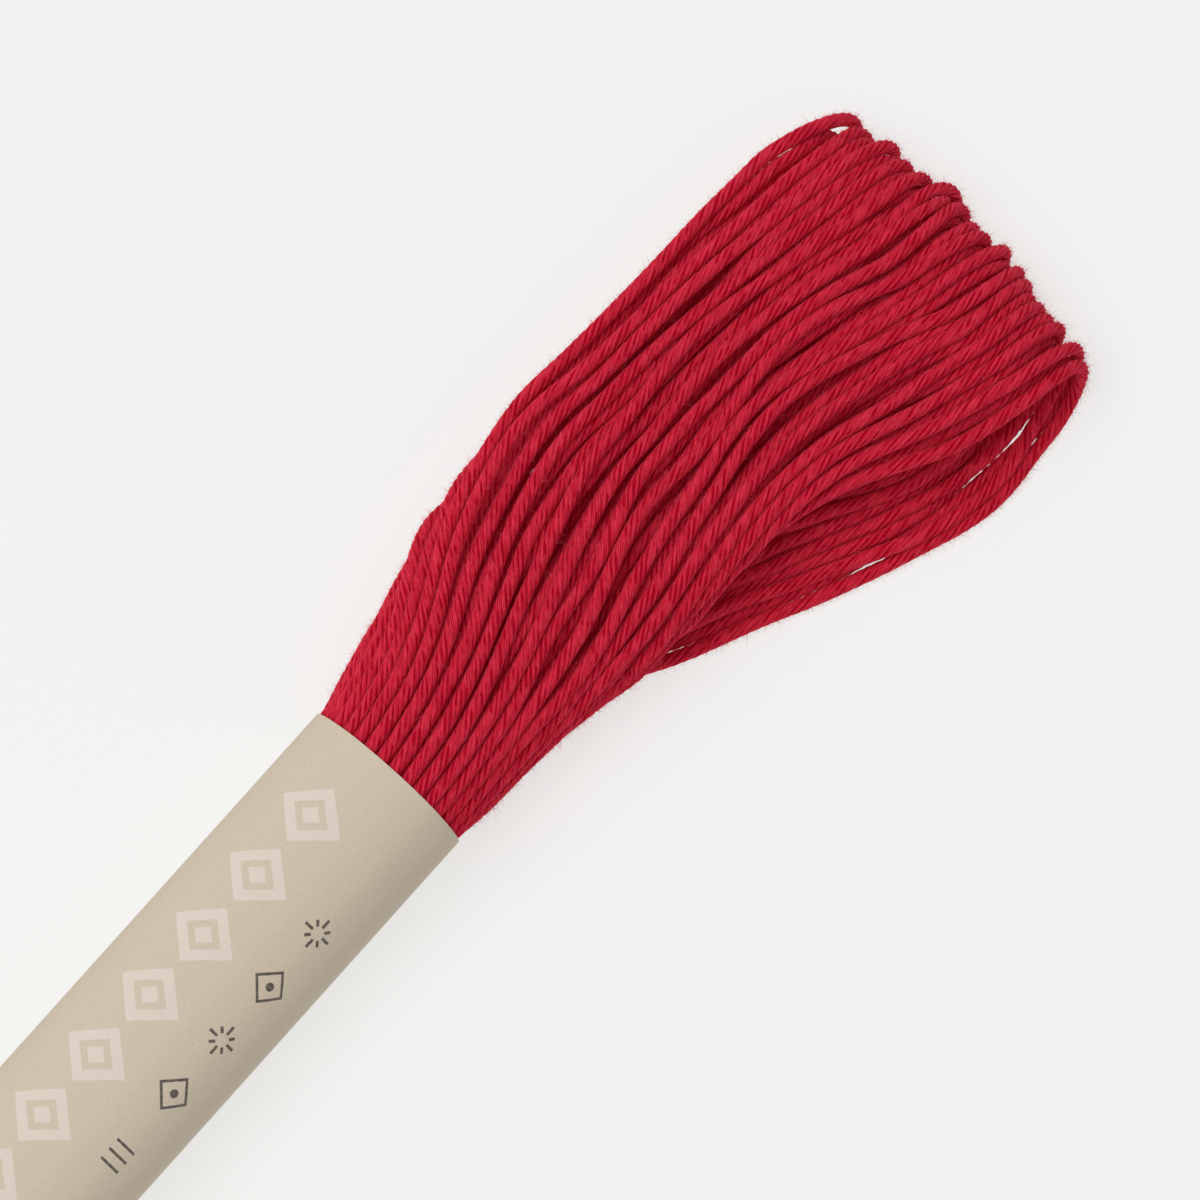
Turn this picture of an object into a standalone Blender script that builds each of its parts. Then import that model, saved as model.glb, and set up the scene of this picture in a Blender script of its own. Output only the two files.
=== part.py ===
"""A skein of embroidery thread, held at its waist by a paper band.

The hank is one flattened ring of many turns. It lies along X on the plane z = 0: a slim waist inside the
band, and a loop end beyond each mouth of the band, open in the middle where its turns come round. The
front loop end, at +X, is spread wide and leans towards -Y, with its lower turns further out than its upper
ones. The back loop end, at -X, is narrow and even.
"""

from dataclasses import dataclass
from functools import partial
from math import cos, pi, radians, sin

import bmesh
import bpy
from mathutils import Vector

MM = 0.001
PIECE_GAP = 0.3 * MM

# Paper band: a sleeve with a nearly round section, pressed flat where it rests.
BAND_LENGTH = 75.0 * MM
BAND_WIDTH = 11.0 * MM
BAND_HEIGHT = 10.2 * MM
BAND_WALL = 1.0 * MM
BAND_SIDES = 48
BAND_SQUARENESS = 2.3
PRESSED_FLAT = 0.35 * MM

# Hank inside the band: it clears the paper, and keeps that size a little way out of each mouth.
WAIST_CLEARANCE = PIECE_GAP + 0.08 * MM
WAIST_OVERHANG = 0.6 * MM
WAIST_SIDE_HEIGHT = 0.4 * MM

# Loop ends: the layers of turns have flat backs with rounded edges.
LOOP_SQUARENESS = 3.6
LOOP_STEP = 3.8 * MM
OPEN_EYE = 2.0 * MM
EDGE_INSET = 0.3 * MM
EDGE_LIP = 0.1 * MM
BEND_STEPS = 8
CORNER_SHARE = 0.2
CORNER_ROUNDNESS = 2.0
EDGE_CROWDING = 0.5

# Ridges: groups of turns lying side by side, with the share of the width that each group takes.
RIDGE_SHARES = (0.9, 1.15, 0.95, 1.1, 0.85, 1.05, 1.2, 0.9, 1.1, 0.8)
RIDGE_DEPTH = 0.4 * MM
RIDGE_FULLNESS = 0.7
RIDGE_SAMPLES = 4

# Each row is one section of a loop end, in millimetres: how far out of the band's mouth it stands, the left
# (+Y) and right (-Y) edges of its upper and lower layers from the band's axis, the height of its crown, and
# the lowest and highest point of the eye between the layers.
COLUMNS = ("out", "top_left", "top_right", "low_left", "low_right", "crown", "eye_low", "eye_high")
FRONT_LOOP = (
    (2.4, 5.5, -5.4, 5.4, -5.4, 9.9, 4.9, 4.9),
    (7.0, 6.6, -5.2, 6.2, -5.5, 9.8, 4.8, 4.8),
    (12.5, 7.9, -4.9, 6.7, -6.6, 9.6, 4.1, 5.0),
    (17.0, 8.5, -5.7, 7.0, -8.8, 9.2, 3.3, 5.2),
    (23.0, 8.8, -7.0, 6.9, -11.3, 8.7, 2.7, 5.1),
    (31.0, 8.8, -9.9, 6.5, -14.8, 8.1, 2.4, 4.9),
    (36.0, 8.7, -11.5, 6.2, -15.6, 7.7, 2.3, 4.7),
    (41.0, 8.2, -12.9, 6.0, -15.4, 7.2, 2.3, 4.6),
)
BACK_LOOP = (
    (2.4, 5.5, -5.4, 5.4, -5.5, 9.9, 4.9, 4.9),
    (8.0, 6.1, -5.8, 5.9, -5.9, 9.8, 4.8, 4.8),
    (14.0, 7.2, -6.5, 6.6, -6.9, 9.4, 4.0, 5.1),
    (22.0, 8.6, -7.6, 7.9, -8.2, 8.7, 3.0, 5.2),
    (31.0, 9.3, -8.4, 8.7, -9.0, 8.0, 2.5, 4.9),
    (41.0, 8.7, -8.3, 8.3, -8.6, 7.3, 2.4, 4.7),
)
TIP_REACH = 4.4 * MM
TIP_LAYER = 2.3 * MM
TIP_PINCH = 0.9 * MM

THREAD_RED = (0.515, 0.010, 0.026, 1.0)
THREAD_ROUGHNESS = 0.85
PAPER_KRAFT = (0.610, 0.530, 0.410, 1.0)
PAPER_ROUGHNESS = 0.75
SHARP_ANGLE = radians(50)


@dataclass(frozen=True)
class Station:
    """One section across the hank at x; eye_low and eye_high are equal where the layers touch."""

    x: float
    top_left: float
    top_right: float
    low_left: float
    low_right: float
    crown: float
    keel: float
    eye_low: float
    eye_high: float
    squareness: float
    side_height: float

    @property
    def openness(self):
        """0 where the section is one bundle, 1 where its two layers stand well apart."""
        return min(1.0, (self.eye_high - self.eye_low) / OPEN_EYE)

    @property
    def high_side(self):
        """Height of the upper layer's widest line."""
        bundled = (self.crown + self.keel + self.side_height) / 2
        return mix(bundled, (self.crown + self.eye_high) / 2, self.openness)

    @property
    def low_side(self):
        """Height of the lower layer's widest line."""
        bundled = (self.crown + self.keel - self.side_height) / 2
        return mix(bundled, (self.keel + self.eye_low) / 2, self.openness)


def mix(first, second, share):
    return first + (second - first) * share


def arch(across, squareness):
    """Height of a rounded hump, 0 at its edges and 1 in the middle, as across goes from 0 to 1."""
    return max(0.0, 1 - abs(2 * across - 1) ** squareness) ** (1 / squareness)


def even_across(share):
    """Places along a hump that crowd a little at its edges, where it turns down."""
    return mix(share, (1 - cos(pi * share)) / 2, EDGE_CROWDING)


def ridge_places(samples):
    """The share of the width, and the depth below the crests, of each point across the ridges."""
    total = sum(RIDGE_SHARES)
    start = 0.0
    places = []
    for width in RIDGE_SHARES:
        for sample in range(samples):
            part = sample / samples
            depth = RIDGE_DEPTH * (1 - sin(pi * part) ** RIDGE_FULLNESS)
            places.append(((start + width * part) / total, depth))
        start += width
    places.append((1.0, RIDGE_DEPTH))
    return places


OUTER_PLACES = ridge_places(RIDGE_SAMPLES)
INNER_PLACES = ridge_places(RIDGE_SAMPLES // 2)
BEND_ANGLES = [radians(90 - 180 * step / BEND_STEPS) for step in range(1, BEND_STEPS)]


def outer_top(station, share, depth):
    """A point of the upper layer's outer face, sunk by depth along the face's own normal."""
    across = even_across(share)
    half_width = (station.top_left - station.top_right) / 2
    rise = station.crown - station.high_side
    height = arch(across, station.squareness)
    power = station.squareness - 1
    side = 1 - 2 * across
    lean = abs(side) ** power / half_width * (1 if side > 0 else -1)
    outward = Vector((0, lean, height**power / rise)).normalized()
    y = mix(station.top_left, station.top_right, across)
    return Vector((station.x, y, station.high_side + rise * height)) - outward * depth


def outer_low(station, share, _depth):
    """A point of the lower layer's outer face, pressed flat on the plane that carries it."""
    across = even_across(share)
    drop = station.low_side - station.keel + PRESSED_FLAT
    z = max(station.keel, station.low_side - drop * arch(across, station.squareness))
    return Vector((station.x, mix(station.low_left, station.low_right, across), z))


def inner_face(station, share, depth, upper):
    """A point of the face that a layer turns to the eye, its crests reaching furthest into the eye."""
    across = even_across(share)
    left = station.top_left if upper else station.low_left
    right = station.top_right if upper else station.low_right
    edge_z = station.high_side - EDGE_LIP if upper else station.low_side + EDGE_LIP
    flat_z = station.eye_high + depth if upper else station.eye_low - depth
    y = mix(left - EDGE_INSET, right + EDGE_INSET, across)
    return Vector((station.x, y, mix(edge_z, flat_z, arch(across, 2 * station.squareness))))


def eye_start(station, share, _depth):
    """A point of the line where the upper and the lower layer part."""
    across = even_across(share)
    left = (station.top_left + station.low_left) / 2 - EDGE_INSET
    right = (station.top_right + station.low_right) / 2 + EDGE_INSET
    return Vector((station.x, mix(left, right, across), (station.eye_low + station.eye_high) / 2))


def round_the_tip(top, low, share, reach, angle):
    """A point on the way round the tip, which swings from top, at a right angle, to low, at minus that."""
    across = even_across(share)
    middle = (top + low) / 2
    point = middle + (top - middle) * sin(angle)
    side = 1 - 2 * across
    point.x += reach * cos(angle)
    point.y -= TIP_PINCH * side**3 * cos(angle)
    return point


def corner_share(share):
    """How far the tip reaches at this share of the width, where 1 is its full reach."""
    return 1 - CORNER_SHARE * (1 - arch(even_across(share), CORNER_ROUNDNESS))


def outer_bend(station, ahead, angle, share, depth):
    top = outer_top(station, share, depth)
    low = outer_low(station, share, depth)
    return round_the_tip(top, low, share, ahead * (TIP_REACH * corner_share(share) - depth), angle)


def inner_bend(station, ahead, angle, share, depth):
    top = inner_face(station, share, depth, upper=True)
    low = inner_face(station, share, depth, upper=False)
    return round_the_tip(top, low, share, ahead * (TIP_REACH - TIP_LAYER) * corner_share(share), angle)


def curved_rows(rows, step):
    """Rows read off a smooth curve through the given ones, about one step apart."""
    result = []
    for index in range(len(rows) - 1):
        before = rows[max(index - 1, 0)]
        first = rows[index]
        second = rows[index + 1]
        after = rows[min(index + 2, len(rows) - 1)]
        pieces = max(1, round((second[0] - first[0]) * MM / step))
        for piece in range(pieces):
            t = piece / pieces
            result.append(tuple(catmull_rom(*values, t) for values in zip(before, first, second, after)))
    result.append(rows[-1])
    return result


def catmull_rom(before, first, second, after, t):
    slope_in = (second - before) / 2
    slope_out = (after - first) / 2
    cubic = 2 * first - 2 * second + slope_in + slope_out
    square = -3 * first + 3 * second - 2 * slope_in - slope_out
    return ((cubic * t + square) * t + slope_in) * t + first


def waist_station(x):
    """The hank where the band holds it."""
    half_width = BAND_WIDTH / 2 - BAND_WALL - WAIST_CLEARANCE
    low = BAND_WALL + WAIST_CLEARANCE
    high = BAND_HEIGHT - BAND_WALL - WAIST_CLEARANCE
    middle = (low + high) / 2
    return Station(
        x, half_width, -half_width, half_width, -half_width, high, low, middle, middle, BAND_SQUARENESS,
        WAIST_SIDE_HEIGHT,
    )


def loop_stations(rows, ahead):
    """The stations of one loop end, from the band outwards; ahead is 1 for the front and -1 for the back."""
    mouth = BAND_LENGTH / 2
    stations = [waist_station(ahead * (mouth + WAIST_OVERHANG))]
    for row in curved_rows(rows, LOOP_STEP):
        named = dict(zip(COLUMNS, (value * MM for value in row)))
        x = ahead * (mouth + named.pop("out"))
        eye_low = min(named.pop("eye_low"), named["eye_high"])
        stations.append(
            Station(
                x=x, keel=0.0, eye_low=eye_low, squareness=LOOP_SQUARENESS,
                side_height=WAIST_SIDE_HEIGHT, **named,
            )
        )
    return stations


class HankMesh:
    """Builds the hank's one closed skin: its outside, the inside of each eye, and the edges between."""

    def __init__(self):
        self.mesh = bmesh.new()

    def line(self, point_of, places):
        return [self.mesh.verts.new(point_of(share, depth)) for share, depth in places]

    def face(self, *corners):
        """A face whose repeated corners are dropped."""
        kept = []
        for corner in corners:
            if corner not in kept:
                kept.append(corner)
        if len(kept) > 2:
            self.mesh.faces.new(kept)

    def skin(self, lines):
        """Quads between each line and the next, closed into a ring."""
        for index, line in enumerate(lines):
            after = lines[(index + 1) % len(lines)]
            for place in range(len(line) - 1):
                self.face(line[place], line[place + 1], after[place + 1], after[place])

    def outer_lines(self, stations, ahead):
        """Lines across the outside of one loop end: upper, round the tip, and lower, back to the waist."""
        upper = [self.line(partial(outer_top, at), OUTER_PLACES) for at in stations]
        lower = [self.line(partial(outer_low, at), OUTER_PLACES) for at in stations]
        tip = [self.line(partial(outer_bend, stations[-1], ahead, at), OUTER_PLACES) for at in BEND_ANGLES]
        return upper, tip, lower

    def eye_lines(self, stations, ahead):
        """Lines across the inside of one eye, with a shared first line where the layers part."""
        start = self.line(partial(eye_start, stations[0]), INNER_PLACES)
        upper = [self.line(partial(inner_face, at, upper=True), INNER_PLACES) for at in stations[1:]]
        lower = [self.line(partial(inner_face, at, upper=False), INNER_PLACES) for at in stations[1:]]
        tip = [self.line(partial(inner_bend, stations[-1], ahead, at), INNER_PLACES) for at in BEND_ANGLES]
        return start, upper, tip, lower

    def edge_faces(self, outer, eye, first_eye, end):
        """The narrow edge of one loop end, at the first (0) or the last (-1) point of every line."""
        upper, tip, lower = outer
        start, eye_upper, eye_tip, eye_lower = eye
        for index in range(first_eye - 1):
            self.face(upper[index][end], upper[index + 1][end], lower[index + 1][end], lower[index][end])
        before = first_eye - 1
        self.face(
            upper[before][end], upper[first_eye][end], start[end], lower[first_eye][end], lower[before][end]
        )
        outside = upper[first_eye:] + tip + lower[: first_eye - 1 : -1]
        inside = [start] + eye_upper + eye_tip + eye_lower[::-1] + [start]
        for index in range(len(outside) - 1):
            self.face(
                outside[index][end], outside[index + 1][end], inside[index + 1][end], inside[index][end]
            )

    def finish(self, name):
        bmesh.ops.recalc_face_normals(self.mesh, faces=self.mesh.faces)
        data = bpy.data.meshes.new(name)
        self.mesh.to_mesh(data)
        self.mesh.free()
        return data


def eye_start_index(stations):
    """Index of the last station whose layers still touch: the eye starts there."""
    return max(index for index, at in enumerate(stations) if at.eye_high <= at.eye_low)


def hank_mesh():
    front = loop_stations(FRONT_LOOP, 1)
    back = loop_stations(BACK_LOOP, -1)
    build = HankMesh()
    ends = []
    for stations, ahead in ((front, 1), (back, -1)):
        opening = eye_start_index(stations)
        outer = build.outer_lines(stations, ahead)
        eye = build.eye_lines(stations[opening:], ahead)
        ends.append((outer, eye, opening))
    (front_outer, front_eye, front_open), (back_outer, back_eye, back_open) = ends
    front_ring = front_outer[0] + front_outer[1] + front_outer[2][::-1]
    back_ring = back_outer[2] + back_outer[1][::-1] + back_outer[0][::-1]
    build.skin(front_ring + back_ring)
    for outer, eye, opening in ends:
        start, upper, tip, lower = eye
        build.skin([start] + upper + tip + lower[::-1])
        for end in (0, -1):
            build.edge_faces(outer, eye, opening, end)
    for end in (0, -1):
        build.face(
            front_outer[0][0][end], front_outer[2][0][end], back_outer[2][0][end], back_outer[0][0][end]
        )
    return build.finish("skein")


def band_ring(x, inset):
    """The band's section at x, inset from its outside."""
    half_width = BAND_WIDTH / 2 - inset
    centre_z = (BAND_HEIGHT - PRESSED_FLAT) / 2
    half_height = (BAND_HEIGHT + PRESSED_FLAT) / 2 - inset
    power = 2 / BAND_SQUARENESS
    points = []
    for side in range(BAND_SIDES):
        angle = 2 * pi * side / BAND_SIDES
        across = abs(cos(angle)) ** power * (1 if cos(angle) > 0 else -1)
        up = abs(sin(angle)) ** power * (1 if sin(angle) > 0 else -1)
        points.append(Vector((x, half_width * across, max(inset, centre_z + half_height * up))))
    return points


def band_mesh():
    mesh = bmesh.new()
    half = BAND_LENGTH / 2
    rings = [
        [mesh.verts.new(point) for point in band_ring(x, inset)]
        for x, inset in ((-half, 0.0), (half, 0.0), (half, BAND_WALL), (-half, BAND_WALL))
    ]
    for index, ring in enumerate(rings):
        after = rings[(index + 1) % len(rings)]
        for side in range(BAND_SIDES):
            turn = (side + 1) % BAND_SIDES
            mesh.faces.new((ring[side], ring[turn], after[turn], after[side]))
    bmesh.ops.recalc_face_normals(mesh, faces=mesh.faces)
    data = bpy.data.meshes.new("paper_band")
    mesh.to_mesh(data)
    mesh.free()
    return data


def material(name, colour, roughness):
    made = bpy.data.materials.new(name)
    made.use_nodes = True
    shader = made.node_tree.nodes["Principled BSDF"]
    shader.inputs["Base Color"].default_value = colour
    shader.inputs["Roughness"].default_value = roughness
    shader.inputs["Metallic"].default_value = 0.0
    return made


def place(data, dressing, holder):
    data.materials.append(dressing)
    data.shade_smooth()
    data.set_sharp_from_angle(angle=SHARP_ANGLE)
    piece = bpy.data.objects.new(data.name, data)
    piece.parent = holder
    bpy.context.scene.collection.objects.link(piece)
    return piece


def centre_over_origin(holder, pieces):
    """Moves the holder so that the middle of the pieces' common box stands over the origin."""
    corners = [vertex.co for piece in pieces for vertex in piece.data.vertices]
    for axis in (0, 1):
        values = [corner[axis] for corner in corners]
        holder.location[axis] = -(min(values) + max(values)) / 2


def main():
    for old in list(bpy.data.objects):
        bpy.data.objects.remove(old)
    holder = bpy.data.objects.new("skein_holder", None)
    bpy.context.scene.collection.objects.link(holder)
    pieces = (
        place(hank_mesh(), material("thread_red", THREAD_RED, THREAD_ROUGHNESS), holder),
        place(band_mesh(), material("paper_kraft", PAPER_KRAFT, PAPER_ROUGHNESS), holder),
    )
    centre_over_origin(holder, pieces)


main()
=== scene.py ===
"""The looks of a skein of soft embroidery thread, held at its waist by a printed paper band.

The skein is built the way it is wound: fifty-nine turns of one thread, packed into the band as nested rings
and spread into a loop end beyond each of its mouths. Each turn is first laid out from the sizes below, then
all of them settle against each other, against the band and on the surface, and at last each is covered with
the seven twisted plies of the thread. Sizes are in metres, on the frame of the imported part.
"""

import logging
import math
from dataclasses import dataclass
from enum import Enum
from itertools import product

import bmesh
import bpy
import numpy as np
from mathutils import Matrix, Vector

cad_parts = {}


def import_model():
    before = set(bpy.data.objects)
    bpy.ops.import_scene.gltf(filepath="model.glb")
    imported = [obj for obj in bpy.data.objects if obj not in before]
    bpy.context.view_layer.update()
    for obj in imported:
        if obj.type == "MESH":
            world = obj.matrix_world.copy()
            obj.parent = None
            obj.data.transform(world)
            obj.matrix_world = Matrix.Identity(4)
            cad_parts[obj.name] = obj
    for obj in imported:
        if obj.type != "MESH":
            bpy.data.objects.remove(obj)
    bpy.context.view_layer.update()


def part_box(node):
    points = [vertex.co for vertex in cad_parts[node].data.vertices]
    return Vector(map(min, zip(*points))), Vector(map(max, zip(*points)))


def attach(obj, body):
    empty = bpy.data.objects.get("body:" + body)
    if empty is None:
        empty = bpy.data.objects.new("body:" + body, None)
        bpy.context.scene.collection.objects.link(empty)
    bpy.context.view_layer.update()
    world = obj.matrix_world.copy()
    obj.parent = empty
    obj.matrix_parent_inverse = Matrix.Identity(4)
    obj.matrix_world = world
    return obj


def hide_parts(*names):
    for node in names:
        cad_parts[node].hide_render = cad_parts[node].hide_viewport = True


MM = 0.001
SEED = 20

log = logging.getLogger("skein")


# ---------------------------------------------------------------- sizes of the skein


class Twist(Enum):
    """The way a thread is twisted: an S thread's plies lean like the middle stroke of an S."""

    S = -1
    Z = 1


@dataclass(frozen=True)
class Thread:
    """The thread itself: soft plies twisted together.

    Args:
        diameter: over the crests of the plies.
        plies: how many plies are twisted together.
        lead: length of thread in which a ply goes once round.
        twist: which way the plies go round.
        ply_radius: radius of one ply, as a share of the thread's radius.
        unevenness: how much the thickness varies along the thread, as a share.
    """

    diameter: float = 0.86 * MM
    plies: int = 7
    lead: float = 4.5 * MM
    twist: Twist = Twist.S
    ply_radius: float = 0.38
    unevenness: float = 0.035

    @property
    def radius(self) -> float:
        """Half the thread's diameter."""
        return self.diameter / 2

    def lobe(self, phase: np.ndarray) -> np.ndarray:
        """Distance of the surface from the axis, as a share of the radius.

        Args:
            phase: place across a ply, a whole number in the crease between two plies.

        Returns:
            1 on a crest, and less towards the creases.
        """
        angle = (phase % 1 - 0.5) * 2 * math.pi / self.plies
        centre = 1 - self.ply_radius
        return centre * np.cos(angle) + np.sqrt(self.ply_radius**2 - (centre * np.sin(angle)) ** 2)


@dataclass(frozen=True)
class LoopRow:
    """One section of a loop end, in millimetres.

    Args:
        out: distance out of the band's mouth.
        top_left: left edge (+Y) of the upper layer, from the band's axis.
        top_right: right edge (-Y) of the upper layer.
        low_left: left edge of the lower layer.
        low_right: right edge of the lower layer.
        crown: height of the upper layer's back.
        keel: height of the lower layer's underside.
        eye_low: height where the lower layer ends.
        eye_high: height where the upper layer starts.
    """

    out: float
    top_left: float
    top_right: float
    low_left: float
    low_right: float
    crown: float
    keel: float
    eye_low: float
    eye_high: float


FRONT_LOOP = (
    LoopRow(-4.0, 5.45, -5.4, 5.45, -5.4, 10.05, 0.15, 4.95, 4.95),
    LoopRow(0.0, 5.45, -5.4, 5.45, -5.4, 10.05, 0.12, 4.95, 4.95),
    LoopRow(2.4, 5.8, -5.45, 5.7, -5.45, 9.95, 0.0, 4.9, 4.9),
    LoopRow(7.0, 6.9, -5.5, 6.8, -5.6, 9.8, 0.0, 4.8, 4.8),
    LoopRow(12.5, 9.05, -5.6, 8.3, -7.05, 9.6, 0.0, 4.1, 5.0),
    LoopRow(17.0, 9.7, -5.9, 8.9, -8.7, 9.2, 0.0, 3.3, 5.2),
    LoopRow(21.3, 9.8, -6.5, 8.9, -10.1, 8.85, 0.0, 2.9, 5.15),
    LoopRow(24.5, 9.2, -7.1, 8.6, -11.6, 8.6, 0.0, 2.6, 4.7),
    LoopRow(30.0, 8.5, -8.8, 8.0, -14.0, 8.15, 0.0, 2.3, 4.35),
    LoopRow(36.0, 8.2, -11.7, 6.3, -15.6, 7.7, 0.0, 2.2, 4.15),
    LoopRow(41.0, 7.9, -13.2, 3.6, -15.3, 7.2, 0.0, 2.2, 4.2),
)
BACK_LOOP = (
    LoopRow(-4.0, 5.35, -5.35, 5.35, -5.35, 10.05, 0.15, 4.95, 4.95),
    LoopRow(0.0, 5.35, -5.35, 5.35, -5.35, 10.05, 0.12, 4.95, 4.95),
    LoopRow(2.4, 5.5, -5.4, 5.4, -5.5, 9.95, 0.0, 4.9, 4.9),
    LoopRow(8.0, 6.1, -5.8, 5.9, -5.9, 9.8, 0.0, 4.8, 4.8),
    LoopRow(14.0, 7.2, -6.5, 6.6, -6.9, 9.4, 0.0, 4.0, 5.1),
    LoopRow(22.0, 8.6, -7.6, 7.9, -8.2, 8.7, 0.0, 3.0, 5.2),
    LoopRow(31.0, 9.3, -8.4, 8.7, -9.0, 8.0, 0.0, 2.5, 4.9),
    LoopRow(41.0, 8.7, -8.3, 8.3, -8.6, 7.3, 0.0, 2.4, 4.7),
)


def smooth_curve(places: np.ndarray, knots: np.ndarray, values: np.ndarray) -> np.ndarray:
    """A smooth curve through the given values, flat beyond its ends.

    Args:
        places: where to read the curve.
        knots: where the values stand, rising.
        values: the curve's values at the knots.

    Returns:
        The curve's value at each place.
    """
    slopes = np.gradient(values, knots)
    at = np.clip(places, knots[0], knots[-1])
    index = np.clip(np.searchsorted(knots, at, side="right") - 1, 0, len(knots) - 2)
    width = knots[index + 1] - knots[index]
    t = (at - knots[index]) / width
    rise = t * t * (3 - 2 * t)
    start = values[index] + (values[index + 1] - values[index]) * rise
    lean_in = slopes[index] * width * t * (1 - t) ** 2
    lean_out = slopes[index + 1] * width * t * t * (1 - t)
    return start + lean_in - lean_out


def ease(value: np.ndarray, low: float, high: float) -> np.ndarray:
    """0 below low, 1 above high, and a smooth step between."""
    t = np.clip((value - low) / (high - low), 0, 1)
    return t * t * (3 - 2 * t)


def arch(across: np.ndarray, squareness: float) -> np.ndarray:
    """Height of a rounded hump, 0 at its edges and 1 in the middle, as across goes from 0 to 1."""
    return np.clip(1 - np.abs(2 * across - 1) ** squareness, 0, 1) ** (1 / squareness)


Sizes = dict[str, np.ndarray]


class Section:
    """The sizes of a loop end at every distance out of the mouth, read off its rows."""

    def __init__(self, rows: tuple[LoopRow, ...]) -> None:
        """Keeps the rows and their distances out of the mouth."""
        self.knots = np.array([row.out for row in rows]) * MM
        self.rows = rows

    def read(self, size: str, out: np.ndarray) -> np.ndarray:
        """The named size at each distance out of the mouth."""
        values = np.array([getattr(row, size) for row in self.rows]) * MM
        return smooth_curve(out, self.knots, values)

    def axes(self, out: np.ndarray, radius: float) -> Sizes:
        """All sizes at each distance, with the outside ones drawn in to the axes of the threads there.

        Args:
            out: distances out of the mouth.
            radius: the thread's radius.

        Returns:
            The sizes by name.
        """
        inward = {"top_left": -1, "low_left": -1, "top_right": 1, "low_right": 1, "crown": -1, "keel": 1}
        sizes = {name: self.read(name, out) + side * radius for name, side in inward.items()}
        return sizes | {name: self.read(name, out) for name in ("eye_low", "eye_high")}


# ---------------------------------------------------------------- how the turns lie


@dataclass(frozen=True)
class Winding:
    """How many turns there are, and how they nest.

    Args:
        rings: turns in each nested ring, from the outermost.
        flat_rows: turns in each row where a loop end is spread flat, from the outermost.
        ring_pitch: distance between rings inside the band.
        outer_ring: radius of the outermost ring, to the thread's axis.
        squareness: how square the rings are; 2 is a circle.
    """

    rings: tuple[int, ...] = (17, 14, 11, 9, 5, 3)
    flat_rows: tuple[int, ...] = (15, 15, 15, 14)
    ring_pitch: float = 0.80 * MM
    outer_ring: float = 4.87 * MM
    squareness: float = 2.3

    @property
    def turns(self) -> int:
        """How many turns the skein has."""
        return sum(self.rings)

    def ring_of(self) -> np.ndarray:
        """The ring of each turn."""
        return np.repeat(np.arange(len(self.rings)), self.rings)

    def angles(self) -> np.ndarray:
        """The angle of each turn's upper run in its ring, 0 on the left and pi on the right."""
        return np.concatenate([(np.arange(count) + 0.5) * math.pi / count for count in self.rings])

    def rows(self) -> np.ndarray:
        """The row that each turn takes in a flat loop end: rings fill the rows in order, spread evenly.

        Returns:
            One number for each turn, 0 for the outermost row.
        """
        rings = self.ring_of()
        row = np.zeros(self.turns, int)
        current = 0
        room = self.flat_rows[0]
        for ring in range(len(self.rings)):
            waiting = np.flatnonzero(rings == ring)
            while len(waiting) > room:
                chosen = np.round((np.arange(room) + 0.5) * len(waiting) / room - 0.5).astype(int)
                row[waiting[chosen]] = current
                waiting = np.delete(waiting, chosen)
                current += 1
                room = self.flat_rows[current]
            row[waiting] = current
            room -= len(waiting)
        return row

    def reach(self) -> np.ndarray:
        """How far out of the axis each turn lies, where 1 is the outermost ring on the left."""
        angles = self.angles()
        power = self.squareness
        bulge = (np.abs(np.cos(angles)) ** power + np.abs(np.sin(angles)) ** power) ** (-1 / power)
        radius = self.outer_ring - self.ring_pitch * self.ring_of()
        return bulge * radius / self.outer_ring


# How far the turn of the bundle at the mouth crowds the turns of a layer to the right, as a share, by the
# distance out of the mouth in millimetres: first in the upper layer, then in the lower one.
LEANING = (
    (0.0, 0.40),
    (12.5, 0.42),
    (18.4, 0.26),
    (21.9, 0.178),
    (24.2, 0.14),
    (27.1, 0.08),
    (30.0, 0.035),
    (32.8, 0.01),
    (35.7, 0.0),
    (38.6, 0.01),
    (41.0, 0.03),
)
LOW_LEANING = ((8.0, 0.0), (14.0, 0.06), (20.0, 0.06), (25.0, 0.06), (30.0, 0.03), (35.0, 0.0))

# Widths between neighbouring turns, from the left, as shares: in the fan, at the tip, in the lower layer.
FAN_GAPS = (1.0, 0.85, 0.9, 0.85, 1.5, 0.85, 0.9, 1.5, 0.85, 1.4, 1.35, 0.85, 0.9, 0.85)
TIP_GAPS = (1.1, 0.8, 0.85, 0.85, 1.15, 0.9, 0.95, 1.1, 0.95, 1.1, 1.05, 0.95, 0.95, 0.78)
LOW_GAPS = (1.0, 0.8, 1.2, 0.9, 1.1, 0.8, 1.2, 0.9, 1.35, 0.8, 1.0, 1.1, 1.6, 0.55)

# Places across the tip, from 0 on the left to 1, and how much further it reaches there, in millimetres.
FRONT_TIP = (
    (0.0, 1.25),
    (0.05, -0.15),
    (0.1, 0.75),
    (0.16, 0.85),
    (0.3, 0.9),
    (0.68, 0.85),
    (0.76, 0.1),
    (0.92, 0.1),
    (1.0, -0.85),
)
LEVEL_TIP = ((0.0, 0.0), (1.0, 0.0))


@dataclass(frozen=True)
class Change:
    """A size that changes on the way from the mouth to the tip.

    Args:
        near: its value near the mouth.
        far: its value near the tip.
        start: distance out of the mouth at which it starts to change.
        stop: distance at which it has changed.
    """

    near: float
    far: float
    start: float
    stop: float

    def at(self, out: np.ndarray) -> np.ndarray:
        """The value at each distance out of the mouth."""
        return self.near + (self.far - self.near) * ease(out, self.start, self.stop)


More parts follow.
